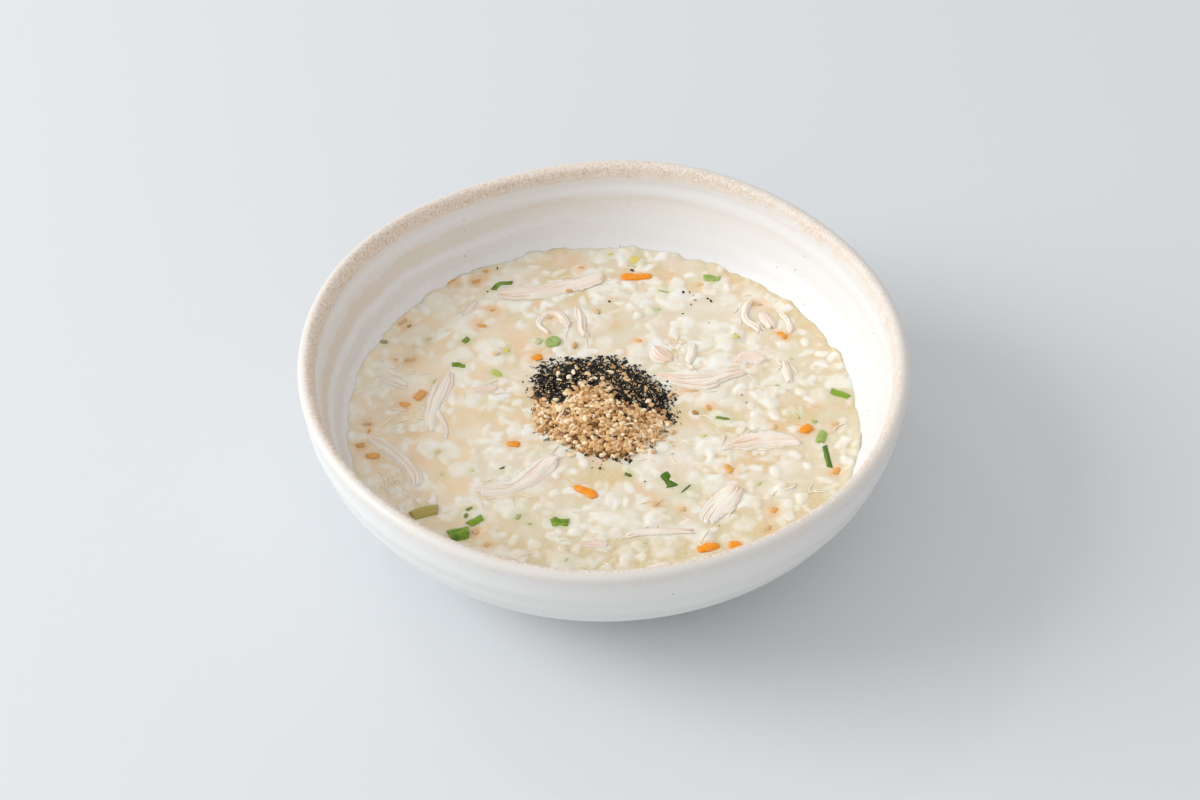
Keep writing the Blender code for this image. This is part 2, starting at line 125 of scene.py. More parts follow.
def smooth_step(low, high, value):
    """0 below low, 1 above high, and an S-shaped rise between."""
    t = np.clip((value - low) / (high - low), 0, 1)
    return t * t * (3 - 2 * t)


# %% [markdown]
# ## Node helper and colours
# Colours are picked as sRGB hex values, as in any paint program, while Blender's shaders work in linear
# light, so one function converts them. One more function adds a node with its settings and links. Most
# finishes are thin colours laid over one another, each where some mark on the surface is strong, so the
# two nodes that do this have a function of their own.

# %% Material tools
def linear(code):
    """A hex colour such as #e8e2d4 as linear RGBA."""
    parts = [int(code[i:i + 2], 16) / 255 for i in (1, 3, 5)]
    return [p / 12.92 if p <= 0.04045 else ((p + 0.055) / 1.055) ** 2.4 for p in parts] + [1.0]


def add(tree, kind, inputs=None, **settings):
    """Add one node; settings are its own properties, inputs are values or sockets by name or number."""
    node = tree.nodes.new(kind)
    for key, value in settings.items():
        setattr(node, key, value)
    for key, value in (inputs or {}).items():
        socket = node.inputs[key]
        if isinstance(value, bpy.types.NodeSocket):
            tree.links.new(value, socket)
        else:
            socket.default_value = value
    return node


def start_material(name, marks=(), **sockets):
    """A Principled material, its sockets set by name with _ for a space, and its sources.

    The sources are the place on the object and one number for each of the mesh's marks.
    """
    material = bpy.data.materials.new(name)
    material.use_nodes = True
    tree = material.node_tree
    shader = tree.nodes["Principled BSDF"]
    for key, value in sockets.items():
        shader.inputs[key.replace("_", " ")].default_value = value
    place = add(tree, "ShaderNodeTexCoord").outputs["Object"]
    numbers = [add(tree, "ShaderNodeAttribute", attribute_name=mark).outputs["Fac"] for mark in marks]
    return material, tree, shader, place, *numbers


# How a Map Range node ramps and which kind of value a Mix node blends
SMOOTH = {"interpolation_type": "SMOOTHSTEP"}
COLOUR = {"data_type": "RGBA"}


def lay_over(tree, under, over, mark, low, high, start=0.0, end=1.0):
    """One colour laid over another: its share goes from start to end as the mark goes from low to high."""
    share = add(tree, "ShaderNodeMapRange", {0: mark, 1: low, 2: high, 3: start, 4: end}, **SMOOTH).outputs[0]
    return add(tree, "ShaderNodeMix", {0: share, 6: under, 7: over}, **COLOUR).outputs[2]


def finish_surface(tree, shader, colour, relief, strength, distance):
    """Send the colour and a fine relief, with its depth in metres, to the shader."""
    tree.links.new(colour, shader.inputs["Base Color"])
    bump = add(tree, "ShaderNodeBump", {"Strength": strength, "Distance": distance, "Height": relief})
    tree.links.new(bump.outputs[0], shader.inputs["Normal"])


# %% [markdown]
# ## The bowl's glaze
# The bowl is stoneware, dipped in an off-white satin glaze. Where the glaze is thick it is milky and
# covers the clay; where the throwing rings stand proud it runs thin, and the warm buff body shows
# through in soft bands with ragged edges. The lip is nearly bare: the glaze breaks over the edge into a
# speckled tan. Iron specks in the clay burn through as tiny dark dots. The bands follow the depth below
# the rim, which each point of the mesh carries as an attribute, so that the pattern stays on the wall.

# %% Stoneware glaze
# Bands of thin glaze: where each rises and falls in mm below the rim, its strength and its colour
BANDS = [(12.8, 14.8, 17.5, 20.8, 1.0, "#e0d4c6"), (21.6, 23.0, 25.0, 27.5, 0.8, "#e0dad3")]


def thin_bands(tree, colour, depth, thin):
    """Lay each band over the white where the depth is between the band's two ragged edges."""
    for rise_from, rise_to, fall_from, fall_to, strength, tint in BANDS:
        rise = add(tree, "ShaderNodeMapRange", {0: depth, 1: rise_from, 2: rise_to}, **SMOOTH).outputs[0]
        fall = add(tree, "ShaderNodeMapRange", {0: depth, 1: fall_from, 2: fall_to, 3: strength, 4: 0.0},
                   **SMOOTH).outputs[0]
        band = add(tree, "ShaderNodeMath", {0: rise, 1: fall}, operation="MULTIPLY").outputs[0]
        band = add(tree, "ShaderNodeMath", {0: band, 1: thin}, operation="MULTIPLY").outputs[0]
        colour = add(tree, "ShaderNodeMix", {0: band, 6: colour, 7: linear(tint)}, **COLOUR).outputs[2]
    return colour


def iron_specks(tree, colour, place):
    """Lay one small dark dot over the colour in some of the cells of a 3 mm honeycomb."""
    cells = add(tree, "ShaderNodeTexVoronoi", {0: place, 2: 330.0})
    chosen = add(tree, "ShaderNodeSeparateColor", {0: cells.outputs["Color"]}).outputs[0]
    dot = add(tree, "ShaderNodeMapRange", {0: cells.outputs["Distance"], 1: 0.05, 2: 0.11, 3: 0.75, 4: 0.0},
              **SMOOTH).outputs[0]
    some = add(tree, "ShaderNodeMapRange", {0: chosen, 1: 0.80, 2: 0.84}, **SMOOTH).outputs[0]
    speck = add(tree, "ShaderNodeMath", {0: dot, 1: some}, operation="MULTIPLY").outputs[0]
    return add(tree, "ShaderNodeMix", {0: speck, 6: colour, 7: linear("#6d5a48")}, **COLOUR).outputs[2]


def stoneware_glaze():
    """Satin white glaze on buff stoneware, thin on the rings and on the lip."""
    material, tree, shader, place, depth, outside, lip, thin = start_material(
        "satin_stoneware_glaze", ("inner_depth", "outer_depth", "lip", "thin"), IOR=1.5)
    # Runs of glaze: noise 1.5 mm wide round the wall and much longer down it
    stretch = add(tree, "ShaderNodeMapping", {0: place, 3: (1, 1, 0.22)}).outputs[0]
    runs = add(tree, "ShaderNodeTexNoise", {0: stretch, 2: 620.0, 3: 3.0, 4: 0.6}).outputs[0]
    cloud = add(tree, "ShaderNodeTexNoise", {0: place, 2: 60.0, 3: 2.0, 4: 0.5}).outputs[0]
    ragged = add(tree, "ShaderNodeMath", {0: runs, 1: 3.4, 2: -1.7}, operation="MULTIPLY_ADD").outputs[0]
    wander = add(tree, "ShaderNodeMath", {0: cloud, 1: 3.0, 2: ragged}, operation="MULTIPLY_ADD").outputs[0]
    warped = add(tree, "ShaderNodeMath", {0: depth, 1: wander}, operation="ADD").outputs[0]
    colour = lay_over(tree, linear("#e6e5e3"), linear("#ebeaea"), depth, 0.0, 4.0)
    colour = thin_bands(tree, colour, warped, thin)
    # A slight tan line under the lip outside, partly where the glaze draws away and partly painted shade
    # under the lip's bead
    under_lip_tan_and_shade = add(tree, "ShaderNodeMath", {0: outside, 1: ragged}, operation="ADD").outputs[0]
    colour = lay_over(tree, colour, linear("#d9c9b6"), under_lip_tan_and_shade, 3.4, 5.8, 0.30, 0.0)
    # The lip: bare-looking tan with a broken edge, mottled and speckled by the clay's grain
    grain = add(tree, "ShaderNodeTexNoise", {0: place, 2: 1100.0, 3: 4.0, 4: 0.65}).outputs[0]
    broad = add(tree, "ShaderNodeTexNoise", {0: place, 2: 160.0, 3: 2.0, 4: 0.5}).outputs[0]
    tan = lay_over(tree, linear("#dac6b2"), linear("#efe4da"), grain, 0.38, 0.62)
    tan = lay_over(tree, tan, linear("#b39a83"), grain, 0.36, 0.30)
    edge = add(tree, "ShaderNodeMath", {0: grain, 1: 1.1, 2: -0.55}, operation="MULTIPLY_ADD").outputs[0]
    edge = add(tree, "ShaderNodeMath", {0: broad, 1: 0.8, 2: edge}, operation="MULTIPLY_ADD").outputs[0]
    edge = add(tree, "ShaderNodeMath", {0: lip, 1: edge}, operation="ADD").outputs[0]
    bare = add(tree, "ShaderNodeMapRange", {0: edge, 1: 0.66, 2: 1.25}, **SMOOTH).outputs[0]
    colour = add(tree, "ShaderNodeMix", {0: bare, 6: colour, 7: tan}, **COLOUR).outputs[2]
    colour = iron_specks(tree, colour, place)
    # The skin of the glaze: shallow orange peel, coarser and duller on the bare lip
    peel = add(tree, "ShaderNodeTexNoise", {0: place, 2: 420.0, 3: 3.0, 4: 0.5}).outputs[0]
    relief = add(tree, "ShaderNodeMath", {0: bare, 1: grain, 2: peel}, operation="MULTIPLY_ADD").outputs[0]
    finish_surface(tree, shader, colour, relief, 0.22, 0.0004)
    rough = add(tree, "ShaderNodeMapRange", {0: bare, 3: 0.36, 4: 0.62}, **SMOOTH).outputs[0]
    tree.links.new(rough, shader.inputs["Roughness"])
    return material


glaze = stoneware_glaze()
print("made", glaze.name)

# %% [markdown]
# ## The bowl
# A thrown bowl is a profile turned round an axis, then slightly out of true. The outer wall is a power
# curve from the belly to the rim, the inner wall is the same curve moved in by the wall's thickness, and
# the lip between them is half a circle. The potter's fingers leave shallow rings, spaced by how far the
# hand rises in one turn of the wheel. The rim's height wanders in two to five slow waves.

# %% Bowl outline
RIM_RADIUS = 100.0
WALL = 4.8
LIP_RADIUS = 2.4
BELLY_RADIUS, BELLY_DEPTH, BELLY_SPREAD, BELLY_POWER = 65.0, 52.0, 34.5, 2.5
LIP_DEPTH, FLOOR_DEPTH = 5.0, 53.0
FOOT_RADIUS, FOOT_WIDTH, FOOT_TOP, FOOT_RECESS, FOOT_CHAMFER = 48.5, 5.0, 4.7, 2.7, 0.8
RIM_WAVES = {2: (0.22, 0.62), 3: (-0.52, 0.11), 4: (0.05, -0.33), 5: (0.46, 0.39)}
# Depth marks of points that aren't on that side of the wall: -OFF inside and OFF outside
OFF = 100


def rim_wave(angle):
    """How far the rim stands above its mean height: a sum of slow cosine and sine waves."""
    return sum(a * np.cos(k * angle) + b * np.sin(k * angle) for k, (a, b) in RIM_WAVES.items())


def outer_wall(depth):
    """Radius = belly + spread * (1 - (depth / belly depth) ^ power), and its slope."""
    share = depth / BELLY_DEPTH
    radius = BELLY_RADIUS + BELLY_SPREAD * (1 - share ** BELLY_POWER)
    return radius, -BELLY_SPREAD * BELLY_POWER / BELLY_DEPTH * share ** (BELLY_POWER - 1)


def inner_wall(depth):
    """The outer wall moved in along its own normal by the wall's thickness: radius and height."""
    radius, slope = outer_wall(depth)
    reach = WALL / np.hypot(1.0, slope)
    return radius - reach, HEIGHT - (depth + slope * reach)


def throwing_rings(depth, pitch, seed):
    """Ridges of uneven strength, one for each pitch of depth."""
    strength = 0.6 + 0.4 * lattice_noise(depth / pitch, 0.5, seed)
    wander = 1.2 * lattice_noise(depth / 11, 0.0, seed + 1)
    return strength * np.sin(2 * math.pi * depth / pitch + wander)


def bowl_outline():
    """Rows of (radius, height, inner depth, outer depth, lip) from the foot's middle to the floor's."""
    rows = []
    foot_in = FOOT_RADIUS - FOOT_WIDTH
    for radius in (0.0, 14.0, 28.0, foot_in - 2.0, foot_in - FOOT_CHAMFER):
        rows.append((radius, FOOT_RECESS, -OFF, HEIGHT, 0))
    for radius, z in ((foot_in - 0.2, 0.5), (foot_in + 0.3, 0.0), (foot_in + 2.0, 0.0),
                      (FOOT_RADIUS - 1.1, 0.0), (FOOT_RADIUS - 0.4, 0.25), (FOOT_RADIUS, 0.9),
                      (FOOT_RADIUS, FOOT_TOP - 0.6), (FOOT_RADIUS + 0.6, FOOT_TOP)):
        rows.append((radius, z, -OFF, HEIGHT - z, 0))
    belly_z = HEIGHT - BELLY_DEPTH
    for share in np.linspace(0.12, 0.92, 9):
        radius = FOOT_RADIUS + (BELLY_RADIUS - FOOT_RADIUS) * share
        z = FOOT_TOP + (belly_z - FOOT_TOP) * share ** 2.9
        rows.append((radius, z, -OFF, HEIGHT - z, 0))
    depth = np.linspace(BELLY_DEPTH, LIP_DEPTH, 66)
    radius, _ = outer_wall(depth)
    radius = radius + 0.28 * throwing_rings(depth, 9.0, 31) * smooth_step(BELLY_DEPTH, 45, depth)
    lip_share = 0.35 * smooth_step(7.5, 5.0, depth)
    rows += list(zip(radius, HEIGHT - depth, depth * 0 - OFF, depth, lip_share))
    turn = np.linspace(0, math.pi, 17)
    rows += list(zip(RIM_RADIUS - LIP_RADIUS + LIP_RADIUS * np.cos(turn),
                     HEIGHT - LIP_RADIUS + LIP_RADIUS * np.sin(turn),
                     np.where(turn > math.pi / 2, 3.0, -OFF), 4.0 - turn,
                     0.35 + 0.65 * smooth_step(0.35 * math.pi, 0.6 * math.pi, turn)))
    depth = np.linspace(LIP_DEPTH, BELLY_DEPTH, 84)
    radius, z = inner_wall(depth)
    below = HEIGHT - z
    radius = radius + 0.24 * throwing_rings(below, 6.3, 47) * smooth_step(44, 34, below)
    rows += list(zip(radius, z, below, depth * 0 + OFF, smooth_step(6.0, 4.2, below)))
    edge_radius, edge_z = inner_wall(BELLY_DEPTH)
    floor_z = HEIGHT - FLOOR_DEPTH
    for share in np.linspace(0.9, 0.0, 8):
        rows.append((edge_radius * share, floor_z + (edge_z - floor_z) * share ** 7, 50, OFF, 0))
    return np.array(rows)


# %% Turn the bowl
def turned_faces(rows, columns, first=2):
    """Quads between rings of points, and triangles to the two poles, which are points 0 and 1."""
    i = np.arange(columns)
    j = (i + 1) % columns
    start = first + np.arange(rows - 1)[:, None] * columns
    quads = np.stack([start + i, start + j, start + columns + j, start + columns + i], axis=-1).reshape(-1, 4)
    last = first + (rows - 1) * columns
    low = np.stack([np.zeros_like(i), first + j, first + i], axis=1)
    high = np.stack([np.ones_like(i), last + i, last + j], axis=1)
    return quads, np.concatenate([low, high])


def make_bowl(columns=400):
    """The outline turned about Z, with the rim's waves dying out towards the foot."""
    rows = bowl_outline()
    body = rows[1:-1]
    angle = ring_angles(columns)
    radius = body[:, 0][:, None]
    x, y = radius * np.cos(angle), radius * np.sin(angle)
    z = body[:, 1][:, None] + rim_wave(angle)[None, :] * (body[:, 1][:, None] / HEIGHT) ** 2
    rings = np.stack([x, y, z], axis=-1).reshape(-1, 3)
    points = np.vstack([[0, 0, rows[0, 1]], [0, 0, rows[-1, 1]], rings])
    # The glaze bands sit a little lower on the near and left side, as the dipped bowl was tilted
    tilt = 1.3 * (1 - np.sin(angle)) - 1.0 * np.cos(angle)
    inner = body[:, 2][:, None] - np.where(body[:, 2][:, None] > 0, tilt[None, :], 0)
    outer = np.repeat(body[:, 3], columns)
    # The bands and the bare lip are strongest on the left and faintest on the right, with a bump of bare lip
    # at the front right
    warm = 0.77 - 0.18 * np.cos(angle) + 0.08 * np.sin(angle) + 0.22 * np.exp(4 * (np.cos(angle + 1.05) - 1))
    lip = (body[:, 4][:, None] * warm[None, :]).ravel()
    thin = np.tile((0.45 - 0.40 * np.cos(angle)).clip(0.06, 1), len(body))
    values = {"inner_depth": np.concatenate([[-OFF, 50], inner.ravel()]),
              "outer_depth": np.concatenate([[HEIGHT, OFF], outer]),
              "lip": np.concatenate([[0, 0], lip]), "thin": np.concatenate([[0, 0], thin])}
    quads, poles = turned_faces(len(body), columns)
    return make_piece("thrown_bowl", points, [quads, poles], glaze, ["bowl"], values)


make_bowl()

# %% [markdown]
# ## Where everything lies in the porridge
# The shreds, the vegetable pieces and the heap are listed here once, with the same places as in the
# frame. The porridge needs them too: it rises in a small fillet where something lies in it.

# %% Places of the toppings
# Each shred's centre line: x, y and the width at each place
CHICKEN = {
    "chicken_long": [(-38, 61.5, 4), (-34, 61, 6.5), (-28, 61.5, 7), (-22, 62.5, 7), (-15, 64.5, 7.4),
                     (-8, 67, 7), (-2, 69.5, 6), (1, 70, 3)],
    "chicken_loop": [(-19, 40, 1.8), (-22.5, 46, 2), (-19.5, 51, 2.4), (-15.5, 50.5, 3), (-13.2, 46.5, 3.4),
                     (-12.2, 43, 2.6)],
    "chicken_upright": [(-9.5, 55, 2), (-8.2, 49, 3.2), (-7.6, 43, 3.2), (-6, 38.4, 2.2)],
    "chicken_forked": [(-52, 21.8, 2.2), (-53.3, 18, 6.2), (-54.4, 13, 7.2), (-55.8, 8, 7.2), (-57, 3, 5.6),
                       (-57.5, -2, 5), (-57.5, -8.5, 5)],
    "chicken_edge": [(-78.5, -10.5, 3), (-74, -13.5, 5), (-69, -18, 5.2), (-65, -23, 5), (-62, -28, 5),
                     (-61, -34, 3.4)],
    "chicken_folded": [(-42, -35.5, 4.5), (-36, -34.5, 7.4), (-30, -33.5, 6.6), (-26, -31, 7), (-22, -27, 8),
                       (-18.5, -22.5, 7.4), (-14.5, -19.5, 3.6)],
    "chicken_wide": [(17.4, 20, 2.8), (22, 19, 5), (26, 17.5, 8), (31, 17.3, 9.6), (36, 18, 9), (41, 19.5, 7),
                     (46, 21, 4.6), (49, 21, 3)],
    "chicken_corner": [(45.5, 27, 3), (48.5, 28.2, 6.2), (51.5, 28.4, 6.8), (55, 27.4, 3.4)],
    "chicken_slip": [(61.6, 27, 2), (62, 21.5, 3.2), (62.8, 15.8, 2)],
    "chicken_frayed": [(38, -16, 1.8), (42, -14.5, 4), (46, -13, 6.6), (51, -11.6, 8.6), (56, -11.2, 7.8),
                       (61, -11.6, 5.2), (66, -13, 2.6)],
    "chicken_curl": [(52.5, 57.3, 2), (50, 55, 2.4), (49, 50, 2.4), (49.6, 46.8, 2.4), (52, 44.2, 2.4),
                     (54, 41, 2)],
    "chicken_curl_core": [(54.8, 50.8, 3.4), (56.8, 47, 5.2), (58.2, 43, 3.2)],
    "chicken_curl_side": [(60.8, 51, 2), (63, 48, 2.4), (64.2, 44.4, 2.4), (64.2, 40.6, 1.8)],
    "chicken_flag": [(43.5, -33, 6), (41.5, -37, 8), (38, -41, 8.8), (35, -45, 8.2), (33, -49.2, 5.4)],
    "chicken_thin": [(29.4, -53, 2.4), (20, -52.9, 3), (11, -53.6, 3), (6, -55.6, 2)],
    "chicken_rosy": [(13, -70.5, 2.4), (17, -68.8, 4.6), (21.5, -68, 2.6)],
    "chicken_small": [(-8, -58.8, 2), (-3, -58.5, 3.2), (1.5, -59, 2)],
    "chicken_flake": [(16.8, 33.5, 4), (19.6, 29.8, 7), (23.2, 27, 4.6)],
    "chicken_flake_side": [(30.8, 34.8, 2.4), (29.6, 30, 3.6), (28.6, 25.6, 2.6)],
    "chicken_pale": [(-76, 20, 2.2), (-71.5, 16.5, 4.4), (-66, 13.5, 2.6)],
    "chicken_strand": [(-44.5, 57, 2), (-46.5, 53, 3.2), (-48.5, 49.5, 2)],
    "chicken_sunk": [(-43.5, 12.3, 2.4), (-39.5, 12.8, 4.2), (-35.5, 13.6, 2.4)],
}
# The forked shred's thin tail
FORK_TAIL = [(-56, 2.6, 2), (-53.8, -2.6, 2), (-52.6, -7.4, 2), (-53, -11.6, 1.8)]


# Carrot sticks: width, thickness, and places along the middle
CARROT_STICKS = {
    "carrot_back": (3.2, 2.0, [(6, 70), (11.5, 69.9), (17, 70.8)]),
    "carrot_front": (3.2, 2.0, [(-10, -33.2), (-6, -35.2), (-2.2, -38)]),
    "carrot_edge": (3.2, 2.0, [(29.6, -61.4), (33, -60.5), (36.8, -59.4)]),
    "carrot_cube": (4.2, 2.2, [(40, -60.3), (43.8, -59.6)]),
    "carrot_right": (3.6, 2.2, [(65.6, -8), (69, -5.2)]),
    "carrot_left": (3.0, 2.0, [(-63, 7.6), (-60.5, 12)]),
}
# Colours of the small bits: strong on the surface, faint under a film of porridge
BIT_COLOURS = {
    "carrot": "#f59a25", "pale carrot": "#ecab5a", "faint carrot": "#e6be8a", "core": "#ead777",
    "faint core": "#e6cd95", "skin": "#e8ac58", "faint skin": "#dfb98c", "brown": "#dfa96a",
    "dark leaf": "#5f7018", "leaf": "#7d9036", "pale leaf": "#b6b97a", "lime": "#c3cf62",
    "faint leaf": "#cbcf9c", "olive": "#a89b6e",
}
# Small bits: x, y, length, width, heading in degrees, colour
SMALL_BITS = [
    (2, 82, 2.6, 1.2, 0, "core"), (-23, 28, 4.4, 3.4, 20, "carrot"),
    (12, 36.5, 2.4, 1.8, -20, "pale carrot"), (61.5, 40, 4.6, 2.6, -45, "carrot"),
    (34, 65.6, 3.0, 2.2, 10, "faint carrot"), (-67, 5.4, 4.4, 3.0, 5, "pale carrot"),
    (-30, -13.4, 4.2, 3.0, -15, "carrot"), (-76, -19.5, 4.4, 2.8, 10, "skin"),
    (-80.3, -14, 3.2, 2.6, 0, "brown"), (57, -5, 3.0, 1.4, 80, "faint carrot"),
    (76.4, -25.4, 4.0, 3.0, 60, "pale carrot"), (55, -44, 3.0, 2.4, 60, "pale carrot"),
    (54.6, -56, 3.6, 1.8, 15, "pale carrot"), (-1, -71.4, 3.4, 1.5, 0, "core"),
    (16.6, -41, 2.8, 2.2, 50, "faint carrot"), (25.6, -43, 2.2, 1.8, 0, "faint carrot"),
    (50.4, -31.4, 1.8, 1.8, 0, "faint core"), (35, 4.6, 3.4, 1.8, 100, "pale carrot"),
    (-54.6, -16.6, 2.2, 1.9, 0, "faint core"), (-53, 67.4, 4.2, 1.4, 35, "skin"),
    (-44, 68, 4.6, 1.6, 25, "skin"), (-41.6, 73, 2.0, 1.6, 0, "brown"),
    (-43, 45, 4.6, 1.7, -15, "pale carrot"), (77, -4, 2.4, 2.2, 0, "faint carrot"),
    (29.4, 11.6, 4.6, 1.6, 5, "faint carrot"), (22.4, 20.4, 1.9, 1.5, 80, "faint core"),
    (41, -25.4, 4.6, 2.8, -50, "skin"), (33, -9.6, 2.4, 1.6, 60, "core"),
    (64, 0.6, 4.6, 0.9, -60, "faint core"), (12, 79.2, 5.0, 3.6, 5, "core"),
    (-33.4, 32, 2.8, 2.2, 0, "core"), (45, 38.4, 3.4, 1.5, 10, "core"), (-53, -27, 1.3, 1.0, 0, "core"),
    (-43, -25.4, 1.2, 1.0, 0, "core"), (-39, 52.6, 2.8, 1.1, 20, "skin"),
    (-40.6, -53.6, 3.4, 2.0, -30, "faint skin"), (-37, -58.8, 2.2, 1.8, 60, "faint skin"),
    (52.4, -52, 3.4, 1.8, 40, "faint skin"), (-79, -3.6, 3.4, 1.6, 10, "faint skin"),
    (-71, 27, 1.6, 1.0, 0, "skin"), (-66, 27.4, 4.0, 1.6, 12, "faint skin"),
    (-78, -7.5, 2.4, 1.0, 70, "pale carrot"), (-70, 46, 4.6, 1.4, 40, "faint skin"),
    (-8, 74.6, 2.0, 0.9, 10, "skin"), (-28, 60.2, 3.0, 1.6, 5, "skin"),
    (-18.5, 49, 3.0, 1.0, 30, "faint carrot"), (54, 55.4, 4.0, 1.6, 5, "faint carrot"),
    (-47, 37.4, 3.4, 2.4, 50, "leaf"), (-57, 16.4, 2.2, 1.6, 40, "lime"),
    (39.6, -1.2, 4.8, 1.6, -12, "leaf"), (70, -3, 2.0, 1.9, 0, "pale leaf"),
    (7.9, -27.4, 3.0, 1.8, -25, "dark leaf"), (-33.4, -24.4, 2.4, 0.9, 25, "dark leaf"),
    (26, -34.6, 6.4, 0.6, 48, "dark leaf"), (-43.4, -43.4, 2.4, 1.8, 30, "leaf"),
    (-27.6, -46.4, 3.0, 1.6, 70, "pale leaf"), (73.2, -39.8, 1.6, 1.3, 60, "dark leaf"),
    (-36, 20.4, 4.6, 2.2, -30, "lime"), (21, 62, 4.6, 1.1, -8, "pale leaf"),
    (-76.4, 36.6, 5.0, 1.8, -8, "olive"), (-22.3, 36.4, 3.4, 2.6, 60, "faint leaf"),
    (-44.4, -46.4, 2.0, 1.6, 60, "leaf"), (58.6, 14.6, 1.8, 0.6, 5, "pale leaf"),
    (18, 53, 3.6, 1.6, 0, "faint leaf"), (-67, 44.6, 2.0, 1.2, 50, "olive"),
    (-24, -49.6, 1.6, 1.0, 20, "pale leaf"), (30, -69.6, 2.0, 1.2, 0, "pale leaf"),
    (-60, 38, 1.8, 1.0, 10, "faint core"), (13, -58, 1.4, 0.8, 10, "faint core"),
    (-12, -66, 1.6, 1.0, 60, "faint leaf"), (64, 28, 1.4, 0.9, 0, "faint core"),
]
# Leaf pieces: width, wrap of the arc in degrees, tone from 0 (dark) to 1 (light), and places
ONION_LEAVES = {
    "onion_far_left": (2.4, 120, 0.25, [(-38.6, 63), (-36.5, 66), (-32, 66.8)]),
    "onion_far_right": (4.2, 70, 0.95, [(35.2, 69.9), (40.8, 69.1)]),
    "onion_left": (3.0, 60, 0.35, [(-51.6, 25), (-46.6, 24.4)]),
    "onion_right": (3.4, 110, 0.65, [(76.6, 12.2), (82.6, 9.2)]),
    "onion_right_fold": (3.2, 150, 0.90, [(71.4, -12.8), (73, -8.0)]),
    "onion_right_strip": (2.2, 130, 0.12, [(72.9, -14.4), (74.2, -24.2)]),
    "onion_middle": (4.4, 60, 0.05, [(19.4, -27.4), (22.6, -33)]),
    "onion_front": (4.8, 70, 0.42, [(-17, -48.8), (-11.4, -48.6)]),
    "onion_front_left": (5.4, 150, 0.40, [(-49.4, -55.2), (-43.4, -53.4)]),
    "onion_front_fold": (3.2, 140, 0.50, [(-43.6, -50.2), (-39.2, -47.2)]),
    "onion_stalk": (4.4, 170, 1.75, [(-61.8, -46.5), (-57.5, -44.6), (-53.6, -43.5)]),
}


def smooth_line(places, count):
    """count even stations on a Catmull-Rom curve through the places."""
    way = np.array(places, dtype=float)
    ends = np.vstack([2 * way[0] - way[1], way, 2 * way[-1] - way[-2]])
    t = np.linspace(0, 1, 24, endpoint=False)[:, None]
    dense = []
    for k in range(1, len(ends) - 2):
        p, a, b, n = ends[k - 1:k + 3]
        dense.append((2 * a + (b - p) * t + (2 * p - 5 * a + 4 * b - n) * t ** 2
                      + (3 * a - p - 3 * b + n) * t ** 3) / 2)
    dense = np.vstack(dense + [way[-1:]])
    run = np.concatenate([[0], np.cumsum(np.linalg.norm(np.diff(dense[:, :2], axis=0), axis=1))])
    at = np.linspace(0, run[-1], count)
    line = np.stack([np.interp(at, run, dense[:, i]) for i in range(dense.shape[1])], axis=1)
    return line, run[-1]


# %% [markdown]
# ## The porridge surface
# Cooked rice grains lie in a thick cloudy liquid. Some stand proud, most are under a thin film, and many
# have melted into soft white clumps. Thousands of separate grains would look dry, because a real grain
# has no hard edge where the liquid wets it. So the surface is one height field: each grain is a low
# oval dome, and a smooth maximum joins it to the liquid with a fillet. A second field notes how much
# rice lies under each point and how deep, and the material turns that into milky white or clear beige.
# Five more fields hold where stock, meat juice and broth gather, and where carrot and leaf have stained; the
# juice field also holds painted light on the left and the broth field painted shade on the right.

# %% Rice grain places
FIELD_STEP = 0.35
FIELD_HALF = 87.0
POT_RADIUS = 86.2
# Where the porridge starts to climb the wall, and how far a bit's stain is worked out
CLING_RADIUS = 84.6
STAIN_REACH = 9


def surface_height(x, y):
    """The liquid's own slow unevenness."""
    swell = np.sin(0.11 * x + 0.9) * np.cos(0.13 * y - 0.4)
    ripple = np.sin(0.05 * x - 0.17 * y + 2.1)
    return LEVEL + 0.35 * (0.6 * swell + 0.4 * ripple)


def scattered_grains(spacing, seed):
    """Places on a jittered triangular grid inside the bowl: x, y."""
    rng = np.random.default_rng(seed)
    i, j = np.meshgrid(np.arange(-60, 61), np.arange(-60, 61))
    x = (i + 0.5 * (j % 2)) * spacing
    y = j * spacing * math.sqrt(0.75)
    places = np.stack([x.ravel(), y.ravel()], axis=1)
    places += rng.uniform(-0.48, 0.48, places.shape) * spacing
    inside = np.hypot(places[:, 0], places[:, 1]) < POT_RADIUS - 1.5
    return places[inside], rng


def grain_table(spacing, seed, lift, white):
    """One row for each grain: x, y, half length, half width, half height, heading, centre height, tone."""
    places, rng = scattered_grains(spacing, seed)
    count = len(places)
    crowd = rough_noise(places[:, 0] / 13 + 9, places[:, 1] / 13 + 9, 71, 2)
    keep = rng.uniform(size=count) < 0.62 + 0.9 * crowd
    length = rng.normal(2.9, 0.55, count).clip(1.5, 4.2)
    width = rng.normal(1.65, 0.28, count).clip(1.0, 2.5)
    heading = rng.uniform(0, math.pi, count)
    height = rng.normal(lift, 0.26, count) + 0.3 * crowd
    tone = (rng.normal(white, 0.24, count) + 0.35 * crowd).clip(0.15, 1.15)
    x, y = places.T
    return np.stack([x, y, length, width, width * 0.62, heading, height, tone], axis=1)[keep]


def melted_clumps(count, seed):
    """Grains that have run together: wide low mounds, in the same columns as the grains."""
    rng = np.random.default_rng(seed)
    radius, angle = POT_RADIUS * np.sqrt(rng.uniform(0, 0.9, count)), rng.uniform(0, 2 * math.pi, count)
    length, width = rng.uniform(3.6, 7.6, count), rng.uniform(2.8, 5.4, count)
    thick, heading = rng.uniform(0.9, 1.5, count), rng.uniform(0, math.pi, count)
    height, tone = rng.normal(-1.0, 0.2, count), rng.uniform(0.45, 1.0, count)
    x, y = radius * np.cos(angle), radius * np.sin(angle)
    return np.stack([x, y, length, width, thick, heading, height, tone], axis=1)


sunk_grains = grain_table(3.9, 5, -1.40, 0.62)
top_grains = grain_table(5.4, 6, -0.90, 0.85)
clumps = melted_clumps(170, 7)
print("grains under the film:", len(sunk_grains), "standing grains:", len(top_grains), "clumps:", len(clumps))


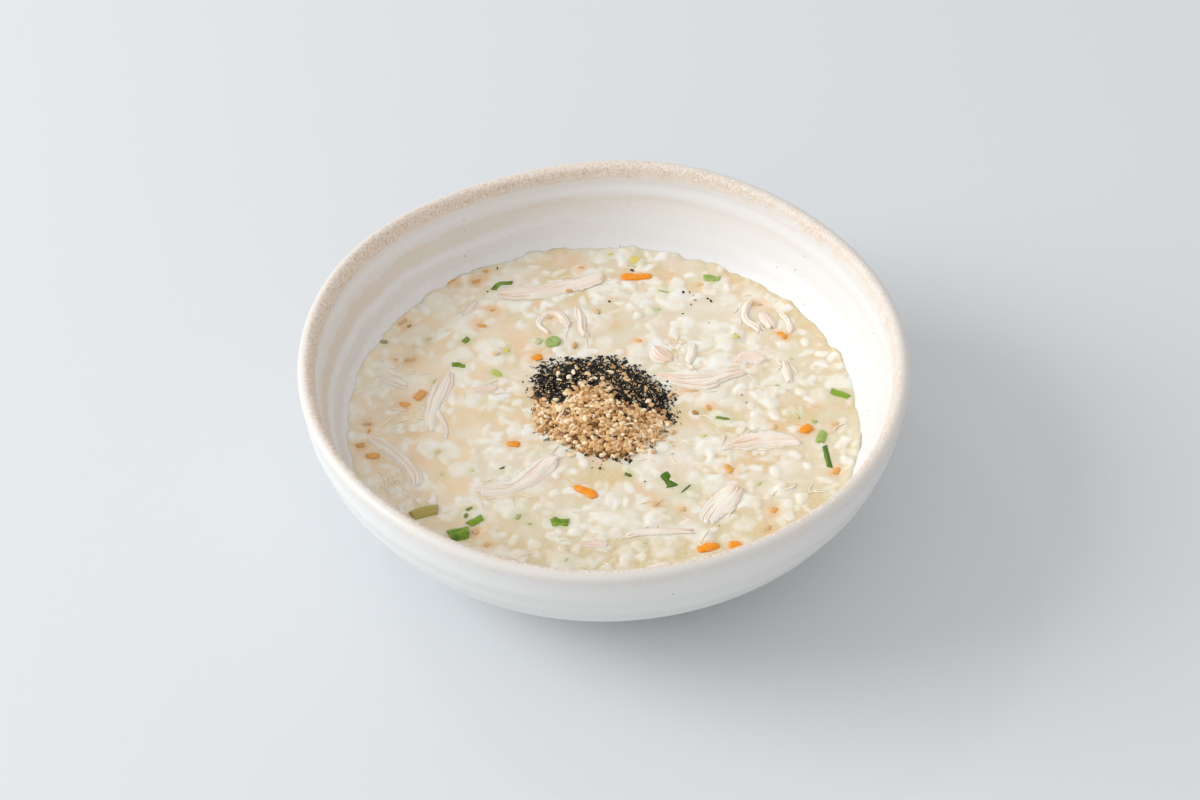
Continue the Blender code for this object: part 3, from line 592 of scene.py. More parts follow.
# %% Height and rice fields
def soft_max(a, b, blend):
    """The larger of two heights, joined by a fillet of about the blend's size."""
    t = np.clip(0.5 + 0.5 * (b - a) / blend, 0, 1)
    return a * (1 - t) + b * t + blend * t * (1 - t)


def window_of(axis, low, high):
    """The rows and columns of the lattice between two corners x, y."""
    (lo_x, lo_y), (hi_x, hi_y) = np.searchsorted(axis, low), np.searchsorted(axis, high)
    return slice(lo_y, hi_y), slice(lo_x, hi_x)


def press_grains(height, rice, warp, axis, grains):
    """Raise the field by each grain's dome and note its whiteness under the film."""
    for x, y, a, b, c, heading, lift, tone in grains:
        reach = a + 2.0
        window = window_of(axis, (x - reach, y - reach), (x + reach, y + reach))
        gx, gy = np.meshgrid(axis[window[1]] - x, axis[window[0]] - y)
        wx, wy = gx + warp[0][window], gy + warp[1][window]
        u = (wx * math.cos(heading) + wy * math.sin(heading)) / a
        v = (wy * math.cos(heading) - wx * math.sin(heading)) / b + 0.22 * u * u - 0.08
        inside = 1 - np.abs(u) ** 2.5 - v * v
        liquid = surface_height(gx + x, gy + y)
        dome = liquid + lift + c * np.maximum(inside, 0) ** 0.75 + np.minimum(inside, 0) * 1.1
        height[window] = soft_max(height[window], dome, 0.8)
        film = np.maximum(liquid - dome, 0)
        white = tone * smooth_step(-0.40, 0.80, inside) * np.exp(-film / 1.1)
        rice[window] = np.maximum(rice[window], white)


def press_strips(height, axis):
    """The liquid is calm round each shred, stick and leaf and climbs a little up its edge."""
    grid_x, grid_y = np.meshgrid(axis, axis)
    ways = list(CHICKEN.values()) + [FORK_TAIL]
    for table in (CARROT_STICKS, ONION_LEAVES):
        ways += [[(x, y, row[0] * 0.8) for x, y in row[-1]] for row in table.values()]
    for places in ways:
        line, _ = smooth_line(places, 40)
        margin = line[:, 2].max() / 2 + 4
        low, high = line.min(axis=0) - margin, line.max(axis=0) + margin
        window = window_of(axis, low[:2], high[:2])
        gap = np.full(grid_x[window].shape, 99.0)
        for x, y, width in line:
            gap = np.minimum(gap, np.hypot(grid_x[window] - x, grid_y[window] - y) - width / 2)
        level = surface_height(grid_x[window], grid_y[window])
        calm = height[window] + (level + 0.05 - height[window]) * smooth_step(2.0, 0.0, gap)
        height[window] = calm + 0.10 * np.exp(-(gap / 1.6) ** 2)


def stain(axis, spots, reach):
    """How much of a bit's colour has soaked into the liquid: 1 at a bit, fading over its reach."""
    grid_x, grid_y = np.meshgrid(axis, axis)
    total = np.zeros(grid_x.shape)
    for x, y, size in spots:
        window = window_of(axis, (x - STAIN_REACH, y - STAIN_REACH), (x + STAIN_REACH, y + STAIN_REACH))
        away = np.maximum(np.hypot(grid_x[window] - x, grid_y[window] - y) - size / 2, 0)
        total[window] = np.maximum(total[window], np.exp(-(away / reach) ** 1.5))
    return total


def stain_spots(table, names):
    """Middles and sizes of the larger pieces, and of the small bits whose colour is one of the names."""
    spots = [(*np.mean(row[-1], axis=0)[:2], row[0]) for row in table.values()]
    return spots + [(row[0], row[1], row[2]) for row in SMALL_BITS if any(name in row[5] for name in names)]


def porridge_fields():
    """The fields on a square lattice over the bowl: height, rice, three juices (with painted light and
    painted shade) and two stains.
    """
    axis = np.arange(-FIELD_HALF, FIELD_HALF + FIELD_STEP, FIELD_STEP)
    grid_x, grid_y = np.meshgrid(axis, axis)
    height = surface_height(grid_x, grid_y)
    height += 0.16 * rough_noise(grid_x / 5.5, grid_y / 5.5, 11)
    rice = 0.10 + 0.55 * rough_noise(grid_x / 9 + 3, grid_y / 9 + 3, 21)
    warp = [0.75 * rough_noise(grid_x / 2.4 + shift, grid_y / 2.4 + shift, 51 + shift, 2) for shift in (0, 9)]
    for grains in (clumps, sunk_grains, top_grains):
        press_grains(height, rice, warp, axis, grains)
    press_strips(height, axis)
    height += 0.055 * rough_noise(grid_x / 1.1, grid_y / 1.1, 41, 2)
    # Where the porridge meets the glaze it clings and stands about 0.6 mm higher
    from_wall = np.maximum(CLING_RADIUS - np.hypot(grid_x, grid_y), 0)
    height += (0.6 + 0.9 * rough_noise(grid_x / 5, grid_y / 5, 91, 2)) * np.exp(-from_wall / 1.6)
    # How much stock tints the liquid: broad clouds, and more of it towards the front wall
    stock = 0.5 + 1.0 * rough_noise(grid_x / 13, grid_y / 13, 81, 3) + 0.2 * smooth_step(-20, -70, grid_y)
    # Broth darkens the liquid at the front, and on the right its darkening is painted shade
    broth_and_painted_shade = 0.9 * smooth_step(-25, -72, grid_y) + 0.45 * smooth_step(15, 70, grid_x)
    # Meat juice warms the liquid on the left, and its brighter colour there is also painted light where the
    # wall shades the porridge
    juice_and_painted_light = smooth_step(5, -70, grid_x) * (0.8 + 0.5 * rough_noise(grid_x / 8, grid_y / 8, 87, 2))
    cloud = 0.75 + 0.5 * rough_noise(grid_x / 3, grid_y / 3, 85, 2)
    orange = cloud * stain(axis, stain_spots(CARROT_STICKS, ("carrot", "skin", "brown")), 2.2)
    green = cloud * stain(axis, stain_spots(ONION_LEAVES, ("leaf", "lime", "core")), 2.0)
    return axis, {"height": height, "rice": rice, "stock": stock, "juice_and_painted_light": juice_and_painted_light, "broth_and_painted_shade": broth_and_painted_shade,
                  "orange": orange, "green": green}


def read_field(axis, field, x, y):
    """The field between its lattice points, by straight interpolation both ways."""
    u = (np.asarray(x) - axis[0]) / FIELD_STEP
    v = (np.asarray(y) - axis[0]) / FIELD_STEP
    iu = np.clip(np.floor(u).astype(int), 0, len(axis) - 2)
    iv = np.clip(np.floor(v).astype(int), 0, len(axis) - 2)
    fu, fv = u - iu, v - iv
    low = field[iv, iu] * (1 - fu) + field[iv, iu + 1] * fu
    high = field[iv + 1, iu] * (1 - fu) + field[iv + 1, iu + 1] * fu
    return low * (1 - fv) + high * fv


field_axis, fields = porridge_fields()
print("porridge from", fields["height"].min().round(2), "to", fields["height"].max().round(2), "mm")


def porridge_top(x, y):
    """Height of the finished porridge surface at any place."""
    return read_field(field_axis, fields["height"], x, y)


# %% [markdown]
# ## Porridge material
# Congee is starch gel: cloudy, wet and slightly see-through, so light goes in and comes out softly. The
# liquid is a warm beige and rice is a milky white. The rice field mixes the two, and thin washes of juice,
# broth and vegetable colour go over both; the juice wash is also painted light on the left and the broth
# wash painted shade on the right. A low roughness gives the wet shine, and subsurface light softens the
# grains' shadows.

# %% Rice porridge
def rice_porridge():
    """Starch gel with soft grains: wet, cloudy and slightly translucent."""
    material, tree, shader, place, rice, stock, juice_and_painted_light, broth_and_painted_shade, orange, green = start_material(
        "boiled_rice_in_starch_gel", ("rice", "stock", "juice_and_painted_light", "broth_and_painted_shade", "orange", "green"), Roughness=0.14,
        IOR=1.36, Subsurface_Weight=0.5, Subsurface_Radius=(1.0, 0.85, 0.6), Subsurface_Scale=0.0018)
    # Patches 12 mm across, greener with onion or pinker with chicken, and clouds of stronger stock
    patch = add(tree, "ShaderNodeTexNoise", {0: place, 2: 70.0, 3: 3.0, 4: 0.55}).outputs[0]
    thin = lay_over(tree, linear("#e5dbc2"), linear("#e9d8c0"), patch, 0.42, 0.60)
    rich = lay_over(tree, linear("#e2cc9e"), linear("#eac89e"), patch, 0.45, 0.62)
    liquid = lay_over(tree, thin, rich, stock, 0.25, 0.85)
    # Chicken juice warms the liquid on the left and is also painted light there; strong broth darkens it at
    # the front, and at the right its darkening is painted shade
    liquid = lay_over(tree, liquid, linear("#fbdfb8"), juice_and_painted_light, 0.0, 1.0, 0.0, 0.65)
    liquid = lay_over(tree, liquid, linear("#d9c592"), broth_and_painted_shade, 0.0, 1.0, 0.0, 0.60)
    # Fine starch haze, 0.8 mm
    haze = add(tree, "ShaderNodeTexNoise", {0: place, 2: 1100.0, 3: 2.0, 4: 0.6}).outputs[0]
    liquid = lay_over(tree, liquid, linear("#e9e1cf"), haze, 0.40, 0.70, 0.0, 0.45)
    shade = add(tree, "ShaderNodeTexNoise", {0: place, 2: 260.0, 3: 2.0, 4: 0.5}).outputs[0]
    grain = lay_over(tree, linear("#f3ecdd"), linear("#f9f5ed"), shade, 0.40, 0.65)
    # The same juices, with their painted light and painted shade, and carrot and leaf near each bit, colour
    # the rice a little too
    mixed = lay_over(tree, liquid, grain, rice, 0.0, 0.95)
    mixed = lay_over(tree, mixed, linear("#fff0d8"), juice_and_painted_light, 0.0, 1.0, 0.0, 0.25)
    mixed = lay_over(tree, mixed, linear("#dccb9e"), broth_and_painted_shade, 0.0, 1.0, 0.0, 0.22)
    mixed = lay_over(tree, mixed, linear("#f0bd80"), orange, 0.05, 1.0, 0.0, 0.55)
    mixed = lay_over(tree, mixed, linear("#cfd09a"), green, 0.05, 1.0, 0.0, 0.40)
    fine = add(tree, "ShaderNodeTexNoise", {0: place, 2: 1000.0, 3: 3.0, 4: 0.55}).outputs[0]
    finish_surface(tree, shader, mixed, fine, 0.22, 0.0003)
    return material


porridge_gel = rice_porridge()
print("made", porridge_gel.name)


# %% Porridge body
def disc_grid(count, radius):
    """A square grid drawn out to a disc: x = u sqrt(1 - v^2 / 2), y = v sqrt(1 - u^2 / 2)."""
    line = np.linspace(-1, 1, count)
    u, v = np.meshgrid(line, line)
    return radius * u * np.sqrt(1 - v * v / 2), radius * v * np.sqrt(1 - u * u / 2)


def grid_faces(rows, columns):
    """Quads of a sheet of points, row by row."""
    i, j = np.meshgrid(np.arange(rows - 1), np.arange(columns - 1), indexing="ij")
    corner = (i * columns + j).ravel()
    return np.stack([corner, corner + 1, corner + columns + 1, corner + columns], axis=1)


def make_porridge(count=298):
    """The disc lifted by the height field, with a skirt down the wall and a closed underside."""
    x, y = disc_grid(count, POT_RADIUS)
    z = porridge_top(x, y)
    top = np.stack([x, y, z], axis=-1).reshape(-1, 3)
    index = np.arange(count * count).reshape(count, count)
    rim = np.concatenate([index[0, :-1], index[:-1, -1], index[-1, :0:-1], index[:0:-1, 0]])
    depths = np.array([34.0, 40.0, 46.0])
    rings, faces, here = [], [grid_faces(count, count)], rim
    for k, depth in enumerate(depths):
        radius, height = inner_wall(depth)
        scale = (radius - 0.4) / POT_RADIUS
        ring = np.stack([top[rim, 0] * scale, top[rim, 1] * scale, np.full(len(rim), height)], axis=1)
        new = count * count + k * len(rim) + np.arange(len(rim))
        nxt = np.roll(here, -1)
        faces.append(np.stack([here, new, np.roll(new, -1), nxt], axis=1))
        rings.append(ring)
        here = new
    middle = count * count + len(depths) * len(rim)
    faces.append(np.stack([here, np.full(len(rim), middle), np.roll(here, -1)], axis=1))
    points = np.vstack([top] + rings + [[[0, 0, HEIGHT - FLOOR_DEPTH + 2]]])
    marks = {key: read_field(field_axis, fields[key], points[:, 0], points[:, 1])
             for key in fields if key != "height"}
    return make_piece("porridge", points, faces, porridge_gel, ["congee"], marks)


make_porridge()

# %% [markdown]
# ## Pulled chicken
# Poached breast pulls apart along its fibres. A shred is a thin flat ribbon with torn ends that has taken
# a lazy curve and lies flush in the porridge, with one or two creases and often a turned-up edge. It is a
# surface of two parameters, along the shred and across it: the height across is a low arch, and the width
# follows the stations of the path. Each point carries marks that the meat's material reads: its fibre, its
# blush, how near the edge it is, and how deep in a crease it lies, where stock tan and painted shade go.

# %% Shred surface
# Height of a shred's arch in mm where it isn't 1.1, and how much pinker or paler it is than the rest
RISE = {"chicken_sunk": 0.5, "chicken_thin": 0.7, "chicken_strand": 0.7, "chicken_pale": 0.6,
        "chicken_small": 0.7, "chicken_edge": 0.8, "chicken_curl": 1.2, "chicken_loop": 1.2}
BLUSH = {"chicken_rosy": 0.30, "chicken_small": 0.30, "chicken_curl_core": 0.30, "chicken_flake": 0.22,
         "chicken_wide": 0.12, "chicken_long": 0.12, "chicken_corner": 0.10, "chicken_sunk": 0.25,
         "chicken_pale": -0.3, "chicken_thin": 0.10, "chicken_flake_side": -0.3, "chicken_folded": -0.10}


def path_frames(places, rows):
    """Stations along a path with the unit vectors ahead and to the left of it."""
    line, length = smooth_line(places, rows)
    ahead = np.gradient(line[:, :2], axis=0)
    ahead /= np.linalg.norm(ahead, axis=1, keepdims=True)
    side = np.stack([-ahead[:, 1], ahead[:, 0]], axis=1)
    return line, ahead, side, length


def carried(frames, across, along, z, drop=0.0):
    """A section carried along a path: each point's place beside and along it, after a pole for each end."""
    line, ahead, side, _ = frames
    x = line[:, 0][:, None] + side[:, 0][:, None] * across + ahead[:, 0][:, None] * along
    y = line[:, 1][:, None] + side[:, 1][:, None] * across + ahead[:, 1][:, None] * along
    body = np.stack([x, y, z], axis=-1)
    ends = body[[0, -1]].mean(axis=1) - [0, 0, drop]
    return np.vstack([ends, body.reshape(-1, 3)])


def ribbon_height(u, run, half, rise, seed):
    """Height across a shred: an arch 1 - u^2 with sharp creases, slow folds and fine fibres.

    A crease is a V cut along a line that wanders across the shred and comes and goes along it.
    """
    count = int(np.clip(half.max() * 1.25, 1, 6))
    crease = 0.0
    for k in range(count):
        wander = half / count * lattice_noise(run / 11 + 5 * k, 2.5, seed + 2)
        middle = half * (-0.75 + 1.5 * (k + 0.5) / count) + wander
        present = smooth_step(-0.5, 0.4, lattice_noise(run / 8, 4.5 + k, seed + 2))
        crease = np.maximum(crease, present * np.maximum(1 - np.abs(u * half - middle) / 0.55, 0))
    arch = rise * np.maximum(1 - u * u, 0)
    folds = 0.25 * lattice_noise(u * 1.6 + 8, run / 5, seed + 3)
    fibre = lattice_noise(u * half / 0.42 + 0.25 * run / 3, run / 10, seed + 4)
    return arch * (1 + folds - 0.5 * crease) + 0.05 * fibre, fibre, crease


def ribbon_points(places, rise, seed, ragged=1.3):
    """A closed ribbon along a path of x, y and width: its arch above, a shallow belly below."""
    rows = max(20, int(smooth_line(places, 9)[1] / 0.45))
    frames = path_frames(places, rows)
    line, length = frames[0], frames[3]
    over = int(np.clip(line[:, 2].max() / 0.22, 18, 44))
    under = 7
    s = np.linspace(0, 1, rows)[:, None]
    u = np.concatenate([np.linspace(-1, 1, over), np.linspace(1, -1, under + 2)[1:-1]])[None, :]
    top = (np.arange(over + under) < over)[None, :]
    run = s * length
    end = np.abs(2 * s - 1)
    close = 0.35 + 0.65 * np.sqrt(np.maximum(1 - end ** 9, 0.0))
    side_of = np.where(u > 0, 3.0, 8.0)
    edges = 0.24 * lattice_noise(run / 4.5, side_of, seed)
    edges = edges + 0.10 * lattice_noise(run / 1.2, side_of + 9, seed)
    half = line[:, 2][:, None] / 2 * close * (1 + edges)
    height, fibre, crease = ribbon_height(u, run, half, rise, seed)
    sink = smooth_step(1.0, 0.90, end)
    tilt = 0.30 * lattice_noise(run / 12, 1.5, seed + 5) * u * half * 0.5
    up = np.where(top, height * (0.10 + 0.90 * sink) + tilt, -0.9 * (1 - u * u) + tilt)
    fray = lattice_noise(u * half / 0.9 + 3, 0.5, seed + 6)
    slide = np.sign(2 * s - 1) * fray * ragged * smooth_step(0.66, 1.0, end)
    across = -u * half
    base = surface_height(line[:, 0], line[:, 1])[:, None] + 0.06 - 1.1 * (1 - sink)
    base = base + 0.28 * lattice_noise(run / 10, 6.5, seed + 8)
    points = carried(frames, across, slide, base + up, 0.3)
    # The crease mark carries stock tan and painted shade, and the edge mark carries a painted glow
    marks = {"fibre": 0.5 + 0.5 * fibre, "edge": smooth_step(0.55, 0.85, np.abs(u)) + 0 * s,
             "crease_stock_and_shade": smooth_step(0.15, 0.9, crease) * sink, "wet": smooth_step(0.84, 0.97, np.abs(u)) + 0 * s,
             "blush": 0.5 + 0.5 * rough_noise(run / 7, u * 0.8 + seed, seed + 9, 2)}
    marks = {key: np.concatenate([[0.5, 0.5], value.ravel()]) for key, value in marks.items()}
    return points, turned_faces(rows, over + under), marks


# %% [markdown]
# ## Chicken meat material
# Poached breast is pale pink-cream protein fibre, moist from the stock. Where a shred is thin, at its
# turned-up edges, light shines through and it looks nearly white; that glow is painted into its colour.
# Creases and the parts that lie in the liquid soak up stock and turn tan, and the tan in the creases is
# also painted shade.

# %% Poached chicken
def poached_chicken():
    """Moist muscle fibre: pale pink cream, with a painted glow at thin edges, tan where it soaks in stock and
    as painted shade in creases.
    """
    material, tree, shader, place, fibre, edge, crease_stock_and_shade, blush, wet = start_material(
        "poached_chicken_breast", ("fibre", "edge", "crease_stock_and_shade", "blush", "wet"), Roughness=0.34, IOR=1.38,
        Subsurface_Weight=0.35, Subsurface_Radius=(1.0, 0.7, 0.5), Subsurface_Scale=0.0014)
    meat = lay_over(tree, linear("#faeee2"), linear("#f6dac8"), blush, 0.35, 1.05)
    meat = lay_over(tree, meat, linear("#e4c0a6"), fibre, 0.35, 0.05, 0.0, 0.30)
    # Painted shade: the creases turn tan, partly from stock soaked in and partly as shade in the fold
    meat = lay_over(tree, meat, linear("#e0b997"), crease_stock_and_shade, 0.20, 1.0, 0.0, 0.55)
    # Painted glow: the thin edges are lightened as if light shone through them
    meat = lay_over(tree, meat, linear("#fbeedd"), edge, 0.2, 1.0, 0.0, 0.45)
    meat = lay_over(tree, meat, linear("#f1dfc4"), wet, 0.0, 1.0, 0.0, 0.8)
    fine = add(tree, "ShaderNodeTexNoise", {0: place, 2: 1600.0, 3: 2.0, 4: 0.5}).outputs[0]
    finish_surface(tree, shader, meat, fine, 0.18, 0.0002)
    return material


meat_material = poached_chicken()


def make_chicken():
    """One piece for each shred, with its own blush and height above the porridge."""
    for seed, (name, places) in enumerate({**CHICKEN, "fork_tail": FORK_TAIL}.items()):
        points, faces, marks = ribbon_points(places, RISE.get(name, 1.1), 100 + 17 * seed)
        marks["blush"] = marks["blush"] + BLUSH.get(name, 0.0)
        replaced = [name] if name != "fork_tail" else ()
        make_piece(name.replace("chicken", "shred"), points, faces, meat_material,
                   replaced, marks)


make_chicken()

# %% [markdown]
# ## Loose fibres
# Pulling leaves stray strands round each shred, curled and about half a millimetre thick. They are tubes
# carried along short arcs, all worked out in one array: strand by station by corner.

# %% Strands
def repeat_faces(faces, count, size):
    """The same faces for count copies of a shape of size points."""
    shift = np.arange(count)[:, None, None] * size
    return [(np.asarray(f)[None] + shift).reshape(-1, np.asarray(f).shape[1]) for f in faces]


def tubes(lines, radius, sides=5):
    """Tubes round many lines at once: lines is strands x stations x 3, radius strands x stations."""
    count, stations, _ = lines.shape
    ahead = np.gradient(lines, axis=1)
    ahead /= np.linalg.norm(ahead, axis=2, keepdims=True) + 1e-9
    side = np.stack([-ahead[..., 1], ahead[..., 0], np.zeros((count, stations))], axis=-1)
    side /= np.linalg.norm(side, axis=2, keepdims=True) + 1e-9
    over = np.cross(ahead, side)
    t = ring_angles(sides)
    ring = side[:, :, None] * np.cos(t)[:, None] + over[:, :, None] * np.sin(t)[:, None]
    body = lines[:, :, None] + ring * radius[:, :, None, None]
    points = np.concatenate([lines[:, :1] - ahead[:, :1] * 0.1, lines[:, -1:] + ahead[:, -1:] * 0.1,
                             body.reshape(count, -1, 3)], axis=1)
    return points.reshape(-1, 3), repeat_faces(turned_faces(stations, sides), count, stations * sides + 2)


def curling_lines(starts, heading, length, bend, stations=9):
    """Lines whose heading turns steadily: x = sum cos, y = sum sin, laid on the porridge."""
    s = np.linspace(0, 1, stations)[None, :]
    turn = heading[:, None] + bend[:, None] * (s - 0.5) + 0.5 * bend[:, None] * np.sin(5 * s)
    step = length[:, None] / (stations - 1)
    x = starts[:, 0][:, None] + np.cumsum(np.cos(turn) * step, axis=1)
    y = starts[:, 1][:, None] + np.cumsum(np.sin(turn) * step, axis=1)
    return x, y


# Spots where fibres lie close together: x, y, spread, how many, heading in degrees
FIBRE_SPOTS = [(-71, -29, 4, 26, -70), (-73, -3, 4, 14, 20), (-72, 22, 4, 10, 40), (46, -12, 4, 12, 20),
               (24, 30, 3, 8, 80), (-36, -37, 4, 8, 10), (58, -38, 5, 8, 30), (-60, -34, 4, 8, -60)]


def loose_fibre():
    """Single muscle fibres: cooked white and wet."""
    return start_material("single_muscle_fibre", Roughness=0.25, Base_Color=linear("#fff1da"))[0]


def make_fibres():
    """Strands near every shred, along its own heading, close together in some spots and a few elsewhere."""
    rng = np.random.default_rng(12)
    starts, headings = [], []
    for places in CHICKEN.values():
        line, ahead, side, length = path_frames(places, 30)
        pick = rng.integers(0, 30, max(2, int(length / 4.5)))
        offset = (rng.normal(0, 0.45, len(pick)) * line[pick, 2])[:, None]
        starts.append(line[pick, :2] + side[pick] * offset)
        headings.append(np.arctan2(ahead[pick, 1], ahead[pick, 0]) + rng.normal(0, 0.35, len(pick)))
    radius = 80 * np.sqrt(rng.uniform(0, 1, 36))
    angle = rng.uniform(0, 2 * math.pi, 36)
    starts.append(np.stack([radius * np.cos(angle), radius * np.sin(angle)], axis=1))
    headings.append(rng.uniform(0, 2 * math.pi, 36))
    for x, y, spread, count, degrees in FIBRE_SPOTS:
        starts.append(rng.normal((x, y), spread, (count, 2)))
        headings.append(rng.normal(math.radians(degrees), 0.6, count))
    starts, heading = np.concatenate(starts), np.concatenate(headings)
    count = len(starts)
    x, y = curling_lines(starts, heading, rng.uniform(2.5, 7.0, count), rng.normal(0, 1.3, count))
    thick = rng.uniform(0.16, 0.34, count)[:, None] * np.sin(np.linspace(0.3, math.pi - 0.3, 9))[None, :]
    z = porridge_top(x, y) + thick * 0.5
    inside = (np.hypot(x, y) < 82).all(axis=1)
    points, faces = tubes(np.stack([x, y, z], axis=-1)[inside], thick[inside])
    make_piece("meat_strands", points, faces, loose_fibre())


make_fibres()

# %% [markdown]
# ## Carrot and other vegetable bits
# The carrot is cut into small sticks and dice and boiled soft, so its edges are rounded and its colour
# stays strong. A cut piece is a superellipsoid: a sphere whose sine and cosine are raised to a power, which
# pushes it towards a box. The larger sticks stand in the frame and the small ones are one joined piece.
# A bit that lies under a film of porridge looks paler, so the list names one of a few colours for each.

# %% Cut pieces
def superellipsoid(rows, columns, power):
    """Unit points of |x|^n + |y|^n + |z|^n = 1, n = 2 / power: the two poles on X, then rings along X."""
    def bent(value):
        return np.sign(value) * np.abs(value) ** power
    phi = np.linspace(-math.pi / 2, math.pi / 2, rows + 2)[1:-1][:, None]
    theta = ring_angles(columns)[None, :]
    x = bent(np.sin(phi)) + 0 * theta
    y = bent(np.cos(phi)) * bent(np.cos(theta))
    z = bent(np.cos(phi)) * bent(np.sin(theta))
    ring = np.stack([x, y, z], axis=-1).reshape(-1, 3)
    return np.vstack([[-1, 0, 0], [1, 0, 0], ring]), turned_faces(rows, columns)


def turn_matrices(yaw, pitch, roll):
    """Rotation matrices for many pieces: roll about X, then pitch about Y, then yaw about Z."""
    cy, cp, cr = np.cos(yaw), np.cos(pitch), np.cos(roll)
    sy, sp, sr = np.sin(yaw), np.sin(pitch), np.sin(roll)
    rows = [[cy * cp, cy * sp * sr - sy * cr, cy * sp * cr + sy * sr],
            [sy * cp, sy * sp * sr + cy * cr, sy * sp * cr - cy * sr],
            [-sp, cp * sr, cp * cr]]
    return np.moveaxis(np.array(rows), -1, 0)


def scatter(shape, faces, sizes, turns, places, uneven=None):
    """Copies of a unit shape: sized by three half sizes each, knocked uneven, turned and placed."""
    points = np.broadcast_to(shape, (len(places),) + shape.shape) * sizes[:, None, :]
    if uneven is not None:
        points = points * uneven[..., None]
    points = np.einsum("nij,nkj->nki", turns, points) + places[:, None, :]
    return points.reshape(-1, 3), repeat_faces(faces, len(places), len(shape))


# %% Cooked vegetable
def cooked_vegetable():
    """Soft wet root or leaf: each point's own colour, cloudy where the cells have burst."""
    material, tree, shader, place = start_material(
        "boiled_carrot_flesh", Roughness=0.26, IOR=1.38, Subsurface_Weight=0.3,
        Subsurface_Radius=(1.0, 0.6, 0.3), Subsurface_Scale=0.001)
    own = add(tree, "ShaderNodeAttribute", attribute_name="tint").outputs["Color"]
    cloud = add(tree, "ShaderNodeTexNoise", {0: place, 2: 700.0, 3: 2.0, 4: 0.5}).outputs[0]
    colour = lay_over(tree, own, linear("#f3dcae"), cloud, 0.52, 0.80, 0.0, 0.30)
    fine = add(tree, "ShaderNodeTexNoise", {0: place, 2: 1200.0, 3: 2.0, 4: 0.5}).outputs[0]
    finish_surface(tree, shader, colour, fine, 0.25, 0.0002)
    return material


carrot_material = cooked_vegetable()


def stick_points(width, thickness, places, seed, power=0.6):
    """A superelliptic section carried along a path, square at the ends, with slightly uneven sides."""
    rows, columns = 18, 20
    frames = path_frames(places, rows)
    line, length = frames[0], frames[3]
    s = np.linspace(-1, 1, rows)[:, None]
    t = ring_angles(columns)[None, :]
    close = (1 - np.abs(s) ** 7) ** 0.5 * 0.75 + 0.25
    uneven = 1 + 0.20 * lattice_noise(s * length / 4, np.cos(t) * 1.5 + np.sin(t), seed)
    across = width / 2 * close * np.sign(np.cos(t)) * np.abs(np.cos(t)) ** power * uneven
    up = thickness / 2 * close * np.sign(np.sin(t)) * np.abs(np.sin(t)) ** power * uneven
    slant = 0.5 * np.cos(t) * s ** 5 * lattice_noise(0.5, 0.5, seed + 1) * width / 2
    z = surface_height(line[:, 0], line[:, 1])[:, None] - 0.1 + up
    return carried(frames, across, slant, z), turned_faces(rows, columns)


def make_carrot():
    """The six larger sticks, then all small bits as one piece."""
    for seed, (name, (width, thickness, places)) in enumerate(CARROT_STICKS.items()):
        points, faces = stick_points(width, thickness, places, 300 + seed)
        tint = np.tile(linear("#fc9a18" if name != "carrot_left" else "#e9a85c"), (len(points), 1))
        make_piece(name.replace("carrot", "carrot_stick"), points, faces, carrot_material, [name],
                   {"tint": tint})
    table = np.array([row[:5] for row in SMALL_BITS], dtype=float)
    rng = np.random.default_rng(8)
    shape, faces = superellipsoid(7, 12, 0.7)
    sizes = np.stack([table[:, 2] / 2, table[:, 3] / 2, np.clip(table[:, 3] * 0.30, 0.35, 0.8)], axis=1)
    pitch, roll = rng.normal(0, 0.08, len(table)), rng.normal(0, 0.12, len(table))
    turns = turn_matrices(np.radians(table[:, 4]), pitch, roll)
    top = porridge_top(table[:, 0], table[:, 1])
    places = np.stack([table[:, 0], table[:, 1], top - sizes[:, 2] * 0.5], axis=1)
    uneven = rng.uniform(0.78, 1.18, (len(table), len(shape)))
    points, faces = scatter(shape, faces, sizes, turns, places, uneven)
    tint = np.array([linear(BIT_COLOURS[row[5]]) for row in SMALL_BITS]).repeat(len(shape), 0)
    make_piece("vegetable_bits", points, faces, carrot_material, (), {"tint": tint})


make_carrot()

# %% [markdown]
# ## Spring onion
# Chopped leaves of spring onion are short pieces of a thin-walled tube that the heat has opened and
# flattened. Each is an arc of that tube: the section runs out over the arc and back under it. Fine veins
# run along the leaf, and boiling has turned the green olive. One slice of the round stalk still stands.

# %% Leaf pieces
def leaf_material():
    """Boiled leaf skin: dark olive green with paler veins, lighter and yellower toward the stalk."""
    material, tree, shader, place, tone, vein = start_material(
        "blanched_spring_onion", ("tone", "vein"), Roughness=0.28, IOR=1.4, Subsurface_Weight=0.15,
        Subsurface_Radius=(0.7, 1.0, 0.3), Subsurface_Scale=0.0008)
    patch = add(tree, "ShaderNodeTexNoise", {0: place, 2: 450.0, 3: 2.0, 4: 0.5}).outputs[0]
    mixed = add(tree, "ShaderNodeMath", {0: patch, 1: 0.9, 2: tone}, operation="MULTIPLY_ADD").outputs[0]
    colour = lay_over(tree, linear("#4b7009"), linear("#86a62b"), mixed, 0.35, 0.75)
    colour = lay_over(tree, colour, linear("#a9bd72"), mixed, 0.85, 1.35)
    colour = lay_over(tree, colour, linear("#b9a65a"), mixed, 1.45, 1.80)
    colour = lay_over(tree, colour, linear("#a5b95a"), vein, 0.45, 0.95, 0.0, 0.4)
    finish_surface(tree, shader, colour, vein, 0.35, 0.00015)
    return material


onion_material = leaf_material()


